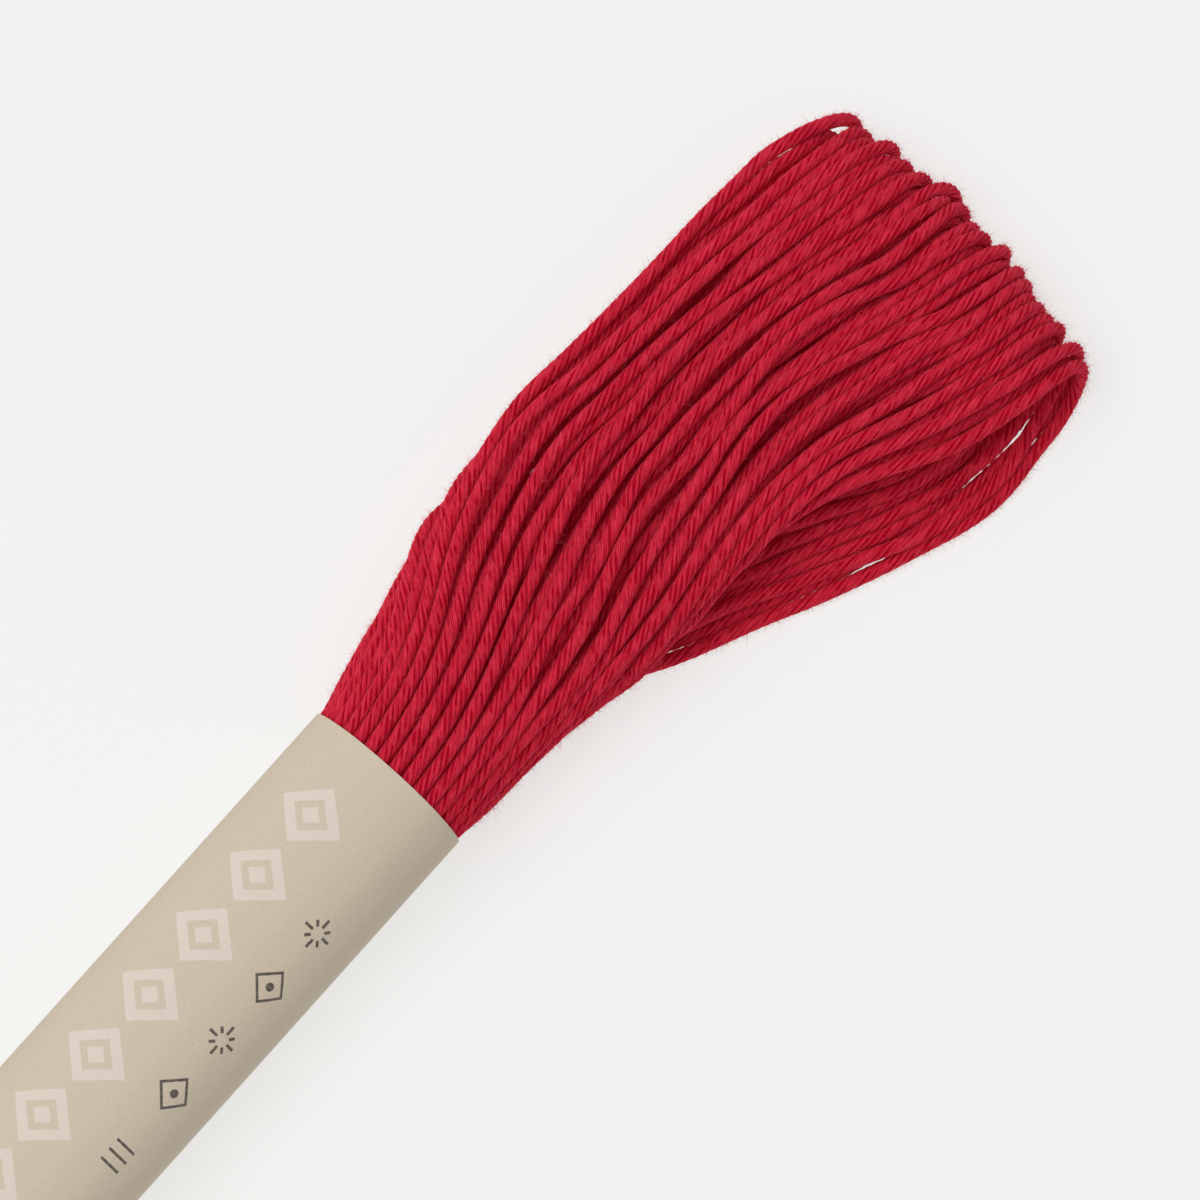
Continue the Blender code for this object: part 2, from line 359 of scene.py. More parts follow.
@dataclass(frozen=True)
class LoopEnd:
    """One loop end: the runs of all turns from inside the mouth, round the tip and back.

    Args:
        name: the name that its pieces take.
        rows: the sizes of its sections.
        ahead: 1 where it points along +X, and -1 along -X.
        seed: start of its random numbers.
        fan_gaps: widths between neighbouring outer turns in the fan.
        tip_shape: places across the tip, and how much further it reaches there.
        winding: how the turns nest.
        thread: the thread they are made of.
        tip_gaps: widths between neighbouring outer turns at the tip.
        low_gaps: the same in the lower layer.
        leaning: how far the turn at the mouth crowds the upper layer's turns to the right.
        low_leaning: the same for the lower layer.
        tip_reach: how far the outermost turns reach beyond the last row.
        reach_step: how much less far the row below them reaches.
        reach_growth: power of a row's number with which that grows.
        reach_spread: how unevenly the turns reach.
        tip_shift: how far each row below is moved to the right against the shape of the tip, as a share.
        gap_shift: by how many turns the widths move on in each row below.
        left_inset: how much further in each row below starts on the left.
        right_inset: the same on the right of the upper layer.
        low_inset: the same on the right of the lower layer.
        low_inset_growth: power of a row's number with which that grows.
        closing: how the rows of the upper layer draw together, as a share of their pitch.
        roll: how far the bundle is turned at the mouth, and how that unwinds.
        spread: how the upper layer spreads flat.
        low_spread: how the lower layer does.
        to_tip: how the widths of the fan become those of the tip.
        hidden_start: how far inside the mouth the runs start.
        squareness: how square the upper layer's back is.
        step: distance between points along a turn.
        run_points: points along a run before it is divided into such steps.
        bend_points: points round the tip before that.
        waviness: size of the slow waves along each turn.
        wave_cycles: how often each wave swings along a turn.
        wave_lift: how high the waves are against how wide.
        wave_room: how the waves rise from none at the mouth.
    """

    name: str
    rows: tuple[LoopRow, ...]
    ahead: int
    seed: int
    fan_gaps: tuple[float, ...]
    tip_shape: tuple[tuple[float, float], ...]
    winding: Winding
    thread: Thread
    tip_gaps: tuple[float, ...] = TIP_GAPS
    low_gaps: tuple[float, ...] = LOW_GAPS
    leaning: tuple[tuple[float, float], ...] = LEANING
    low_leaning: tuple[tuple[float, float], ...] = LOW_LEANING
    tip_reach: float = 4.15 * MM
    reach_step: float = 0.14 * MM
    reach_growth: float = 1.6
    reach_spread: float = 0.15 * MM
    tip_shift: float = 0.05
    gap_shift: int = 5
    left_inset: Change = Change(0.6 * MM, 0.39 * MM, 22 * MM, 34 * MM)
    right_inset: float = 0.75 * MM
    low_inset: Change = Change(1.35 * MM, 0.8 * MM, 24 * MM, 34 * MM)
    low_inset_growth: float = 1.3
    closing: Change = Change(1.0, 0.65, 30 * MM, 40 * MM)
    roll: Change = Change(1.0, 0.0, -2 * MM, 38 * MM)
    spread: Change = Change(0.0, 1.0, 4 * MM, 34 * MM)
    low_spread: Change = Change(0.0, 1.0, 4 * MM, 25 * MM)
    to_tip: Change = Change(0.0, 1.0, 30 * MM, 41 * MM)
    hidden_start: float = 3.0 * MM
    squareness: float = 2.7
    step: float = 0.5 * MM
    run_points: int = 120
    bend_points: int = 41
    waviness: float = 0.24 * MM
    wave_cycles: tuple[int, ...] = (2, 3, 5, 8)
    wave_lift: float = 0.7
    wave_room: Change = Change(0.0, 1.0, 2 * MM, 14 * MM)

    def shares(self, gaps: tuple[float, ...]) -> np.ndarray:
        """Place of each turn across its row, from 0 on the left to 1 on the right.

        Args:
            gaps: widths between neighbouring turns, as shares.

        Returns:
            One place for each turn, in a column.
        """
        rows = self.winding.rows()
        across = np.cos(self.winding.angles()) * self.winding.reach()
        share = np.empty((self.winding.turns, 1))
        for row in range(rows.max() + 1):
            members = np.flatnonzero(rows == row)
            order = members[np.argsort(-across[members])]
            shifted = np.roll(gaps, self.gap_shift * row)
            places = np.concatenate([[0.0], np.cumsum(np.resize(shifted, len(members) - 1))])
            share[order, 0] = places / places[-1]
        return share

    def lay_out(self, mouth: Vector) -> np.ndarray:
        """The route of every turn before it settles.

        Args:
            mouth: middle of the band's mouth, at the height of the surface.

        Returns:
            Points, one row for each turn and the same number in each, in the frame of the part.
        """
        random = np.random.default_rng(self.seed)
        turns = self.winding.turns
        last = self.rows[-1].out * MM
        row = self.winding.rows()[:, None]
        places, bulges = np.array(self.tip_shape).T
        reach = self.tip_reach - self.reach_step * row**self.reach_growth
        reach = reach + np.interp(self.shares(self.tip_gaps) + self.tip_shift * row, places, bulges) * MM
        reach = reach + random.normal(0, self.reach_spread, (turns, 1))
        out = np.linspace(-self.hidden_start, last, self.run_points) + np.zeros((turns, 1))
        upper = self.run(out, upper=True)
        lower = self.run(out, upper=False)
        angle = np.linspace(0, math.pi, self.bend_points)[None, 1:-1]
        bend = np.empty((turns, angle.shape[1], 3))
        bend[..., 0] = last + reach * np.sin(angle)
        for axis, share in ((1, angle / math.pi), (2, (1 - np.cos(angle)) / 2)):
            top = upper[:, -1:, axis]
            bend[..., axis] = top + (lower[:, -1:, axis] - top) * share
        route = np.concatenate([upper, bend, lower[:, ::-1]], axis=1)
        longest = np.linalg.norm(np.diff(route, axis=1), axis=-1).sum(axis=1).max()
        route = even_steps(route, int(longest / self.step))
        route += self.waves(route, random)
        route[..., 0] = mouth.x + self.ahead * route[..., 0]
        route[..., 1] += mouth.y
        return route

    def run(self, out: np.ndarray, upper: bool) -> np.ndarray:
        """The straight runs of all turns in one layer, from the mouth to the tip.

        Args:
            out: distances out of the mouth, one row for each turn.
            upper: whether this is the upper layer.

        Returns:
            Points relative to the middle of the mouth, with X out of it.
        """
        sizes = Section(self.rows).axes(out, self.thread.radius)
        nested_y, nested_z = self.nested(out, sizes, upper)
        flat_y, flat_z = self.flat(out, sizes, upper)
        spread = (self.spread if upper else self.low_spread).at(out)
        y = nested_y + (flat_y - nested_y) * spread
        z = nested_z + (flat_z - nested_z) * spread
        return np.stack([out, y, z], axis=-1)

    def nested(self, out: np.ndarray, sizes: Sizes, upper: bool) -> tuple[np.ndarray, np.ndarray]:
        """Where the turns lie in nested rings, as in the mouth.

        Args:
            out: distances out of the mouth.
            sizes: the loop end's sizes at those distances.
            upper: whether this is the upper layer.

        Returns:
            Places across, and heights.
        """
        angle = self.winding.angles()[:, None] * (1 if upper else -1) + self.roll.at(out)
        reach = self.winding.reach()[:, None]
        rise = reach * np.sin(angle)
        height = (1 + rise) / 2
        left = sizes["low_left"] + (sizes["top_left"] - sizes["low_left"]) * height
        right = sizes["low_right"] + (sizes["top_right"] - sizes["low_right"]) * height
        across = (1 - reach * np.cos(angle)) / 2
        above = sizes["eye_high"] + (sizes["crown"] - sizes["eye_high"]) * rise
        below = sizes["eye_low"] + (sizes["eye_low"] - sizes["keel"]) * rise
        return left + (right - left) * across, np.where(rise > 0, above, below)

    def flat(self, out: np.ndarray, sizes: Sizes, upper: bool) -> tuple[np.ndarray, np.ndarray]:
        """Where the turns lie in flat rows, as at the tip.

        Args:
            out: distances out of the mouth.
            sizes: the loop end's sizes at those distances.
            upper: whether this is the upper layer.

        Returns:
            Places across, and heights.
        """
        row = self.winding.rows()[:, None]
        fan = self.shares(self.fan_gaps)
        tip = self.shares(self.tip_gaps if upper else self.low_gaps)
        share = fan + (tip - fan) * self.to_tip.at(out)
        places, leans = np.array(self.leaning if upper else self.low_leaning).T
        share = share + smooth_curve(out / MM, places, leans) * 4 * share * (1 - share)
        left = sizes["top_left" if upper else "low_left"] - self.left_inset.at(out) * row
        if upper:
            right = sizes["top_right"] + self.right_inset * row
        else:
            right = sizes["low_right"] + self.low_inset.at(out) * row**self.low_inset_growth
        y = left + (right - left) * share
        low, high = (sizes["eye_high"], sizes["crown"]) if upper else (sizes["keel"], sizes["eye_low"])
        pitch = (high - self.thread.radius - low) / (len(self.winding.flat_rows) - 1)
        if not upper:
            return y, low + pitch * row
        side = (high + low) / 2
        z = side + (high - side) * arch(share, self.squareness) - pitch * self.closing.at(out) * row
        return y, np.maximum(z, low + self.thread.radius)

    def waves(self, route: np.ndarray, random: np.random.Generator) -> np.ndarray:
        """Slow waves along each turn, none at the mouth, as wound thread never lies quite straight.

        Args:
            route: points along the turns.
            random: source of the waves.

        Returns:
            How far each point is moved.
        """
        turns, count, _ = route.shape
        along = np.linspace(0, 1, count)[None, :, None]
        wave = np.zeros_like(route)
        for cycles in self.wave_cycles:
            phase = random.uniform(0, 2 * math.pi, (turns, 1, 3))
            size = random.normal(0, 1.0 / math.sqrt(cycles), (turns, 1, 3))
            wave += size * np.sin(2 * math.pi * cycles * along + phase)
        wave[..., 0] = 0
        wave[..., 2] *= self.wave_lift
        return wave * self.wave_room.at(route[..., :1]) * self.waviness


def even_steps(route: np.ndarray, count: int) -> np.ndarray:
    """The same routes with count points each, evenly spaced along them.

    Args:
        route: points, one row for each route.
        count: number of points wanted.

    Returns:
        The new points.
    """
    steps = np.linalg.norm(np.diff(route, axis=1), axis=-1)
    result = np.empty((len(route), count, 3))
    for index, line in enumerate(route):
        length = np.concatenate([[0.0], np.cumsum(steps[index])])
        wanted = np.linspace(0, length[-1], count)
        for axis in range(3):
            result[index, :, axis] = np.interp(wanted, length, line[:, axis])
    return result


def blurred(values: np.ndarray, rounds: int) -> np.ndarray:
    """Values smoothed along the second axis, each round mixing every point with its neighbours.

    Args:
        values: the values.
        rounds: how often they are mixed.

    Returns:
        The smoothed values.
    """
    for _ in range(rounds):
        padded = np.concatenate([values[:, :1], values, values[:, -1:]], axis=1)
        values = 0.25 * padded[:, :-2] + 0.5 * padded[:, 1:-1] + 0.25 * padded[:, 2:]
    return values


# ---------------------------------------------------------------- settling


@dataclass(frozen=True)
class Settling:
    """Moves the turns apart where they press into each other, into the band's wall or into the surface.

    Each push is spread along its thread, so the turns stay as smooth as they were laid.

    Args:
        spacing: distance between the axes of two threads that touch.
        rounds: how many times all contacts are eased.
        reach: how far along a thread a push spreads, in rounds of blurring.
        strength: share of each overlap that one round takes away.
        skin: extra distance at which neighbours are noted.
        renew: rounds between two searches for neighbours.
        own: points along one thread within which it isn't pushed off itself.
    """

    spacing: float = 0.81 * MM
    rounds: int = 150
    reach: int = 14
    strength: float = 0.9
    skin: float = 0.35 * MM
    renew: int = 12
    own: int = 6

    def neighbours(self, points: np.ndarray, per_turn: int) -> tuple[np.ndarray, np.ndarray]:
        """Pairs of points of different threads, or far apart on the same one, that are near each other.

        Args:
            points: all points, thread after thread.
            per_turn: number of points of each thread.

        Returns:
            Two arrays of indices, one for each side of the pairs.
        """
        size = self.spacing + self.skin
        cell = np.floor((points - points.min(axis=0)) / size).astype(np.int64) + 1
        shape = cell.max(axis=0) + 2
        code = (cell[:, 0] * shape[1] + cell[:, 1]) * shape[2] + cell[:, 2]
        order = np.argsort(code, kind="stable")
        ranked = code[order]
        firsts = []
        seconds = []
        for i, j, k in product((-1, 0, 1), repeat=3):
            if (i, j, k) < (0, 0, 0):
                continue
            offset = (i * shape[1] + j) * shape[2] + k
            low = np.searchsorted(ranked, ranked + offset, side="left")
            high = np.searchsorted(ranked, ranked + offset, side="right")
            counts = high - low
            one = np.repeat(np.arange(len(ranked)), counts)
            within = np.arange(counts.sum()) - np.repeat(np.cumsum(counts) - counts, counts)
            other = np.repeat(low, counts) + within
            keep = other > one if offset == 0 else np.ones(len(one), bool)
            firsts.append(order[one[keep]])
            seconds.append(order[other[keep]])
        first = np.concatenate(firsts)
        second = np.concatenate(seconds)
        same = first // per_turn == second // per_turn
        apart = ~same | (np.abs(first - second) > self.own)
        near = np.linalg.norm(points[first] - points[second], axis=1) < size
        keep = apart & near
        return first[keep], second[keep]

    def settle(self, route: np.ndarray, band: "BandForm") -> np.ndarray:
        """The routes after all contacts are eased.

        Args:
            route: points, one row for each turn.
            band: the band that the turns run through.

        Returns:
            The settled points.
        """
        turns, per_turn, _ = route.shape
        points = route.reshape(-1, 3).copy()
        for done in range(self.rounds):
            if done % self.renew == 0:
                first, second = self.neighbours(points, per_turn)
            gap = points[first] - points[second]
            distance = np.linalg.norm(gap, axis=1)
            overlap = np.clip(self.spacing - distance, 0, None)
            push = gap * (overlap / np.maximum(distance, 1e-9) * 0.5)[:, None]
            moved = np.stack(
                [
                    np.bincount(first, push[:, axis], len(points))
                    - np.bincount(second, push[:, axis], len(points))
                    for axis in range(3)
                ],
                axis=1,
            )
            moved += band.keep_inside(points)
            moved = blurred(moved.reshape(turns, per_turn, 3), self.reach).reshape(-1, 3)
            points += self.strength * moved
            points[:, 2] = np.maximum(points[:, 2], self.spacing / 2)
        return points.reshape(route.shape)


# ---------------------------------------------------------------- meshes


def put_in(name: str, data: bpy.types.ID) -> bpy.types.Object:
    """Puts a new object into the scene.

    Args:
        name: its name.
        data: its mesh, camera or light.

    Returns:
        The object.
    """
    made = bpy.data.objects.new(name, data)
    bpy.context.scene.collection.objects.link(made)
    return made


class MeshMaker:
    """Collects grids of points and turns them into one mesh."""

    def __init__(self) -> None:
        """Starts with nothing."""
        self.points: list[np.ndarray] = []
        self.quads: list[np.ndarray] = []
        self.corners: list[np.ndarray] = []
        self.tones: list[np.ndarray] = []
        self.count = 0

    def add(self, points: np.ndarray, quads: np.ndarray, corners: np.ndarray, tones: np.ndarray) -> None:
        """Adds a grid.

        Args:
            points: its points.
            quads: its faces, by the numbers of its own points.
            corners: the map's coordinates at each corner of each face.
            tones: the number kept on each point.
        """
        self.points.append(points.reshape(-1, 3))
        self.quads.append(self.count + quads.reshape(-1, 4))
        self.corners.append(corners.reshape(-1, 2))
        self.tones.append(tones)
        self.count += len(tones)

    def tube(self, rings: np.ndarray, around: np.ndarray, along: np.ndarray, tone: float) -> None:
        """Adds a tube.

        Args:
            rings: points, one row for each ring.
            around: the map's first coordinate at each side, one more than there are sides.
            along: the map's second coordinate at each ring.
            tone: a number kept on every point of the tube.
        """
        count, sides, _ = rings.shape
        index = np.arange(count * sides).reshape(count, sides)
        after = np.roll(index, -1, axis=1)
        quads = np.stack([index[:-1], after[:-1], after[1:], index[1:]], axis=-1)
        u0, u1, v0, v1 = np.broadcast_arrays(around[:-1], around[1:], along[:-1, None], along[1:, None])
        corners = np.stack([u0, v0, u1, v0, u1, v1, u0, v1], axis=-1)
        self.add(rings, quads, corners, np.full(count * sides, tone))

    def strips(self, left: np.ndarray, right: np.ndarray, tones: np.ndarray) -> None:
        """Adds narrow strips, such as loose fibres.

        Args:
            left: points along one edge of each strip, one row for each.
            right: points along the other edge.
            tones: the number kept on each strip.
        """
        strips, points, _ = left.shape
        index = np.arange(strips * points * 2).reshape(strips, points, 2)
        quads = np.stack([index[:, :-1, 0], index[:, :-1, 1], index[:, 1:, 1], index[:, 1:, 0]], axis=-1)
        along = np.broadcast_to(np.linspace(0, 1, points), (strips, points))
        u0, u1, v0, v1 = np.broadcast_arrays(0.0, 1.0, along[:, :-1], along[:, 1:])
        corners = np.stack([u0, v0, u1, v0, u1, v1, u0, v1], axis=-1)
        self.add(np.stack([left, right], axis=2), quads, corners, np.repeat(tones, points * 2))

    def finish(self, name: str, finish: bpy.types.Material) -> bpy.types.Object:
        """The collected grids as one smooth object.

        Args:
            name: name of the object.
            finish: its material.

        Returns:
            The new object, in the scene.
        """
        points = np.concatenate(self.points).astype(np.float32)
        quads = np.concatenate(self.quads).astype(np.int32)
        corners = np.concatenate(self.corners).astype(np.float32)
        mesh = bpy.data.meshes.new(name)
        mesh.vertices.add(len(points))
        mesh.vertices.foreach_set("co", points.ravel())
        mesh.loops.add(quads.size)
        mesh.loops.foreach_set("vertex_index", quads.ravel())
        mesh.polygons.add(len(quads))
        mesh.polygons.foreach_set("loop_start", np.arange(0, quads.size, 4, dtype=np.int32))
        mesh.polygons.foreach_set("use_smooth", np.ones(len(quads), dtype=bool))
        mesh.update(calc_edges=True)
        layer = mesh.uv_layers.new(name="lay")
        layer.uv.foreach_set("vector", corners.ravel())
        tone = mesh.attributes.new("tone", "FLOAT", "POINT")
        tone.data.foreach_set("value", np.concatenate(self.tones).astype(np.float32))
        mesh.validate()
        mesh.materials.append(finish)
        return put_in(name, mesh)


@dataclass(frozen=True)
class Covering:
    """How finely a thread's surface is made.

    Args:
        per_ply: points across each ply.
        step: distance between rings along the thread.
        end_size: share of the radius that is left at a thread's two ends, which closes them.
        swell_step: length over which the thickness changes.
    """

    per_ply: int
    step: float
    end_size: float = 0.02
    swell_step: float = 3 * MM

    def cover(
        self, maker: MeshMaker, line: np.ndarray, thread: Thread, random: np.random.Generator
    ) -> None:
        """Adds one thread's twisted surface to the mesh.

        Args:
            maker: takes the surface.
            line: points along the thread's axis.
            thread: its sizes.
            random: source of its small differences.
        """
        length = float(np.linalg.norm(np.diff(line, axis=0), axis=1).sum())
        count = max(4, round(length / self.step))
        axis = blurred(even_steps(line[None], count), 2)[0]
        ahead = np.gradient(axis, axis=0)
        ahead /= np.linalg.norm(ahead, axis=1)[:, None]
        side = self.carried(ahead)
        over = np.cross(ahead, side)
        sides = self.per_ply * thread.plies
        along = np.linspace(0, length, count)
        around = np.arange(sides + 1) / self.per_ply
        turn = thread.twist.value * 2 * math.pi * along / thread.lead + random.uniform(0, 2 * math.pi)
        angle = turn[:, None] + 2 * math.pi * around[None, :-1] / thread.plies
        swell = 1 + thread.unevenness * self.slow_noise(along, random)
        radius = thread.radius * swell[:, None] * thread.lobe(around[None, :-1])
        radius[[0, -1]] *= self.end_size
        rings = (
            axis[:, None]
            + (radius * np.cos(angle))[..., None] * side[:, None]
            + (radius * np.sin(angle))[..., None] * over[:, None]
        )
        maker.tube(rings, around, along / MM, random.uniform(0, 1))

    def carried(self, ahead: np.ndarray) -> np.ndarray:
        """A direction square to the thread, carried along it without turning about it.

        Args:
            ahead: the thread's own direction at each ring.

        Returns:
            One direction for each ring.
        """
        side = np.empty_like(ahead)
        start = np.array([0.0, 0.0, 1.0])
        for index, direction in enumerate(ahead):
            start = start - direction * (start @ direction)
            start = start / np.linalg.norm(start)
            side[index] = start
        return side

    def slow_noise(self, along: np.ndarray, random: np.random.Generator) -> np.ndarray:
        """A smooth random curve along the thread, about -1 to 1.

        Args:
            along: lengths along the thread.
            random: source of the curve.

        Returns:
            The curve's value at each length.
        """
        beyond = 4 * MM
        knots = np.arange(along[0] - beyond, along[-1] + 2 * beyond, self.swell_step)
        return smooth_curve(along, knots, random.uniform(-1, 1, len(knots)))


class Crowd:
    """The room that the turns of a loop end take up, as a grid of small cells."""

    def __init__(
        self, routes: np.ndarray, radius: float, cell: float = 0.12 * MM, margin: int = 12
    ) -> None:
        """Marks every cell near a turn.

        Args:
            routes: points along the turns, one row for each turn.
            radius: how near to a turn's axis its room ends.
            cell: side of a cell.
            margin: cells left free all round.
        """
        self.cell = cell
        points = even_steps(routes, 2 * routes.shape[1]).reshape(-1, 3)
        self.corner = points.min(axis=0) - margin * cell
        size = np.ceil((points.max(axis=0) - self.corner) / cell).astype(int) + margin
        self.taken = np.zeros(size, bool)
        reach = int(radius / cell) + 1
        offsets = np.indices((2 * reach + 1,) * 3).reshape(3, -1).T - reach
        offsets = offsets[np.linalg.norm(offsets, axis=1) * cell < radius]
        cells = np.floor((points - self.corner) / cell).astype(int)
        for offset in offsets:
            self.taken[tuple(np.clip(cells + offset, 0, size - 1).T)] = True
        self.shade = self.taken.any(axis=2)

    def find(self, points: np.ndarray) -> tuple[np.ndarray, np.ndarray]:
        """Whether each point lies in a turn, and whether one lies straight above or below it.

        Args:
            points: the points, one in each row.

        Returns:
            Two arrays, true where it does.
        """
        cells = np.floor((points - self.corner) / self.cell).astype(int)
        index = np.clip(cells, 0, np.array(self.taken.shape) - 1).T
        return self.taken[tuple(index)], self.shade[tuple(index[:2])]


@dataclass(frozen=True)
class LooseFibres:
    """Short fibre ends that stand off the soft thread.

    Args:
        count: how many there are.
        fringe: how many of them stand out over each patch of the surface round the outline at most.
        patch: side of such a patch.
        tries: how many places are tried for each.
        length: usual length of one.
        length_spread: how much their lengths differ.
        shortest: length of the shortest, as a share of the usual one.
        longest: length of the longest.
        width: width of one at its root.
        taper: share of that width lost at its tip.
        joints: points along one.
        upward: how much more they stand on the upper side.
        outward: how straight they stand off the thread.
        lean: how far they lean along it.
        scatter: how far they turn any way.
        curl: how strongly one curls.
        root: height of their roots over the thread's axis, as a share of its radius.
        bare: points at each end of a turn, inside the band, that have none.
        floor: least height over the surface.
    """

    count: int
    fringe: int = 24
    patch: float = 0.5 * MM
    tries: int = 24
    length: float = 0.17 * MM
    length_spread: float = 0.45
    shortest: float = 0.4
    longest: float = 2.8
    width: float = 0.02 * MM
    taper: float = 0.7
    joints: int = 3
    upward: float = 0.3
    outward: float = 0.75
    lean: float = 0.7
    scatter: float = 0.3
    curl: float = 1.3
    root: float = 0.92
    bare: int = 8
    floor: float = 0.03 * MM

    def build(self, maker: MeshMaker, routes: np.ndarray, crowd: Crowd, thread: Thread, seed: int) -> None:
        """Adds the fibres to the mesh.

        Args:
            maker: takes the fibres.
            routes: points along the turns that they stand on, one row for each turn.
            crowd: the room that all turns take up.
            thread: sizes of the thread.
            seed: start of the random numbers.
        """
        random = np.random.default_rng(seed)
        turns, points, _ = routes.shape
        tried = self.count * self.tries
        turn = random.integers(0, turns, tried)
        place = random.uniform(self.bare, points - 1 - self.bare, tried)
        low = place.astype(int)
        share = (place - low)[:, None]
        foot = routes[turn, low] * (1 - share) + routes[turn, low + 1] * share
        ahead = self.unit(routes[turn, low + 1] - routes[turn, low])
        outward = random.normal(0, 1, (tried, 3)) + np.array([0.0, 0.0, self.upward])
        outward = self.unit(outward - ahead * (outward * ahead).sum(axis=1)[:, None])
        lean = ahead * random.normal(0, self.lean, (tried, 1))
        start = self.unit(outward * self.outward + lean + random.normal(0, self.scatter, (tried, 3)))
        length = self.length * np.exp(random.normal(0, self.length_spread, (tried, 1, 1)))
        length = np.clip(length, self.shortest * self.length, self.longest * self.length)
        bend = random.normal(0, self.curl, (tried, 1, 3))
        t = np.linspace(0, 1, self.joints)[None, :, None]
        root = (foot + outward * thread.radius * self.root)[:, None]
        line = root + length * (start[:, None] * t + bend * t * t / 2)
        line[..., 2] = np.maximum(line[..., 2], self.floor)
        buried, covered = crowd.find(line[:, -1])
        outline = self.sparse(line[:, -1], np.flatnonzero(~buried & ~covered))
        inner = np.flatnonzero(~buried & covered)[: self.count - len(outline)]
        kept = np.concatenate([outline, inner])
        log.info("loose fibres: %d round the outline, %d on the turns", len(outline), len(inner))
        line = line[kept]
        across = self.unit(np.cross(start[kept], random.normal(0, 1, (len(kept), 3))))[:, None]
        half = self.width / 2 * (1 - self.taper * t)
        maker.strips(line - across * half, line + across * half, random.uniform(0, 1, len(kept)))

    def sparse(self, tips: np.ndarray, chosen: np.ndarray) -> np.ndarray:
        """The chosen fibres, without those that crowd the same patch.

        Args:
            tips: where all fibres end.
            chosen: numbers of the fibres to choose from.

        Returns:
            The numbers of those kept.
        """
        x, y = np.floor(tips[chosen, :2] / self.patch).astype(np.int64).T
        patch = (x - x.min()) * (np.ptp(y) + 1) + y - y.min()
        order = np.argsort(patch, kind="stable")
        starts = np.flatnonzero(np.diff(patch[order], prepend=-1))
        rank = np.arange(len(order)) - np.repeat(starts, np.diff(np.append(starts, len(order))))
        return chosen[order[rank < self.fringe]]

    def unit(self, vectors: np.ndarray) -> np.ndarray:
        """The same directions with length 1."""
        return vectors / np.linalg.norm(vectors, axis=-1)[..., None]


# ---------------------------------------------------------------- the paper band


@dataclass(frozen=True)
class BandForm:
    """The form of the paper band: a strip wrapped round the waist.

    Args:
        low: lowest corner of the band's box.
        high: highest corner of the band's box.
        paper: thickness of the paper.
        squareness: how square its section is; 2 is an ellipse.
        pressed: how far its round form is cut off by the surface it lies on.
        thread_room: least distance from the paper to a thread's axis.
    """

    low: Vector
    high: Vector
    paper: float = 0.15 * MM
    squareness: float = 2.3
    pressed: float = 0.35 * MM
    thread_room: float = 0.45 * MM

    @property
    def axis(self) -> tuple[float, float]:
        """Place across, and height, of the section's middle."""
        return (self.low.y + self.high.y) / 2, (self.high.z - self.pressed) / 2

    def halves(self, inset: float) -> tuple[float, float]:
        """Half the section's width and half its height before it is pressed, inset from its outside."""
        return (self.high.y - self.low.y) / 2 - inset, (self.high.z + self.pressed) / 2 - inset

    def ring(self, inset: float, angles: np.ndarray) -> np.ndarray:
        """Points (across, height) round the section, inset from its outside.

        Args:
            inset: how far they are inset.
            angles: where they stand round the section.

        Returns:
            One point for each angle.
        """
        half_width, half_height = self.halves(inset)
        power = 2 / self.squareness
        across = np.sign(np.cos(angles)) * np.abs(np.cos(angles)) ** power
        up = np.sign(np.sin(angles)) * np.abs(np.sin(angles)) ** power
        y, z = self.axis
        height = np.maximum(z + half_height * up, inset)
        return np.stack([y + half_width * across, height], axis=-1)

    def rings(self, inset: np.ndarray, angles: np.ndarray) -> np.ndarray:
        """Points (across, height) round the section, with an inset for each.

        Args:
            inset: how far each is inset.
            angles: where they stand round the section.

        Returns:
            One point for each angle.
        """
        outer = self.ring(0.0, angles)
        inner = self.ring(self.paper, angles)
        return outer + (inner - outer) * (inset / self.paper)[:, None]

    def keep_inside(self, points: np.ndarray) -> np.ndarray:
        """Pushes that bring points inside the band back within its wall.

        Args:
            points: the points, one in each row.

        Returns:
            How far each is pushed, zero outside the band.
        """
        y, z = self.axis
        half_width, half_height = self.halves(self.paper + self.thread_room)
        power = self.squareness
        across = points[:, 1] - y
        up = points[:, 2] - z
        level = (np.abs(across / half_width) ** power + np.abs(up / half_height) ** power) ** (1 / power)
        inside = (points[:, 0] > self.low.x) & (points[:, 0] < self.high.x)
        back = np.where(inside & (level > 1), 1 / np.maximum(level, 1) - 1, 0.0)
        return np.stack([np.zeros_like(back), across * back, up * back], axis=-1)


UNPRINTED = 500.0  # added to the map's first coordinate on the strip's inside, out of reach of its print


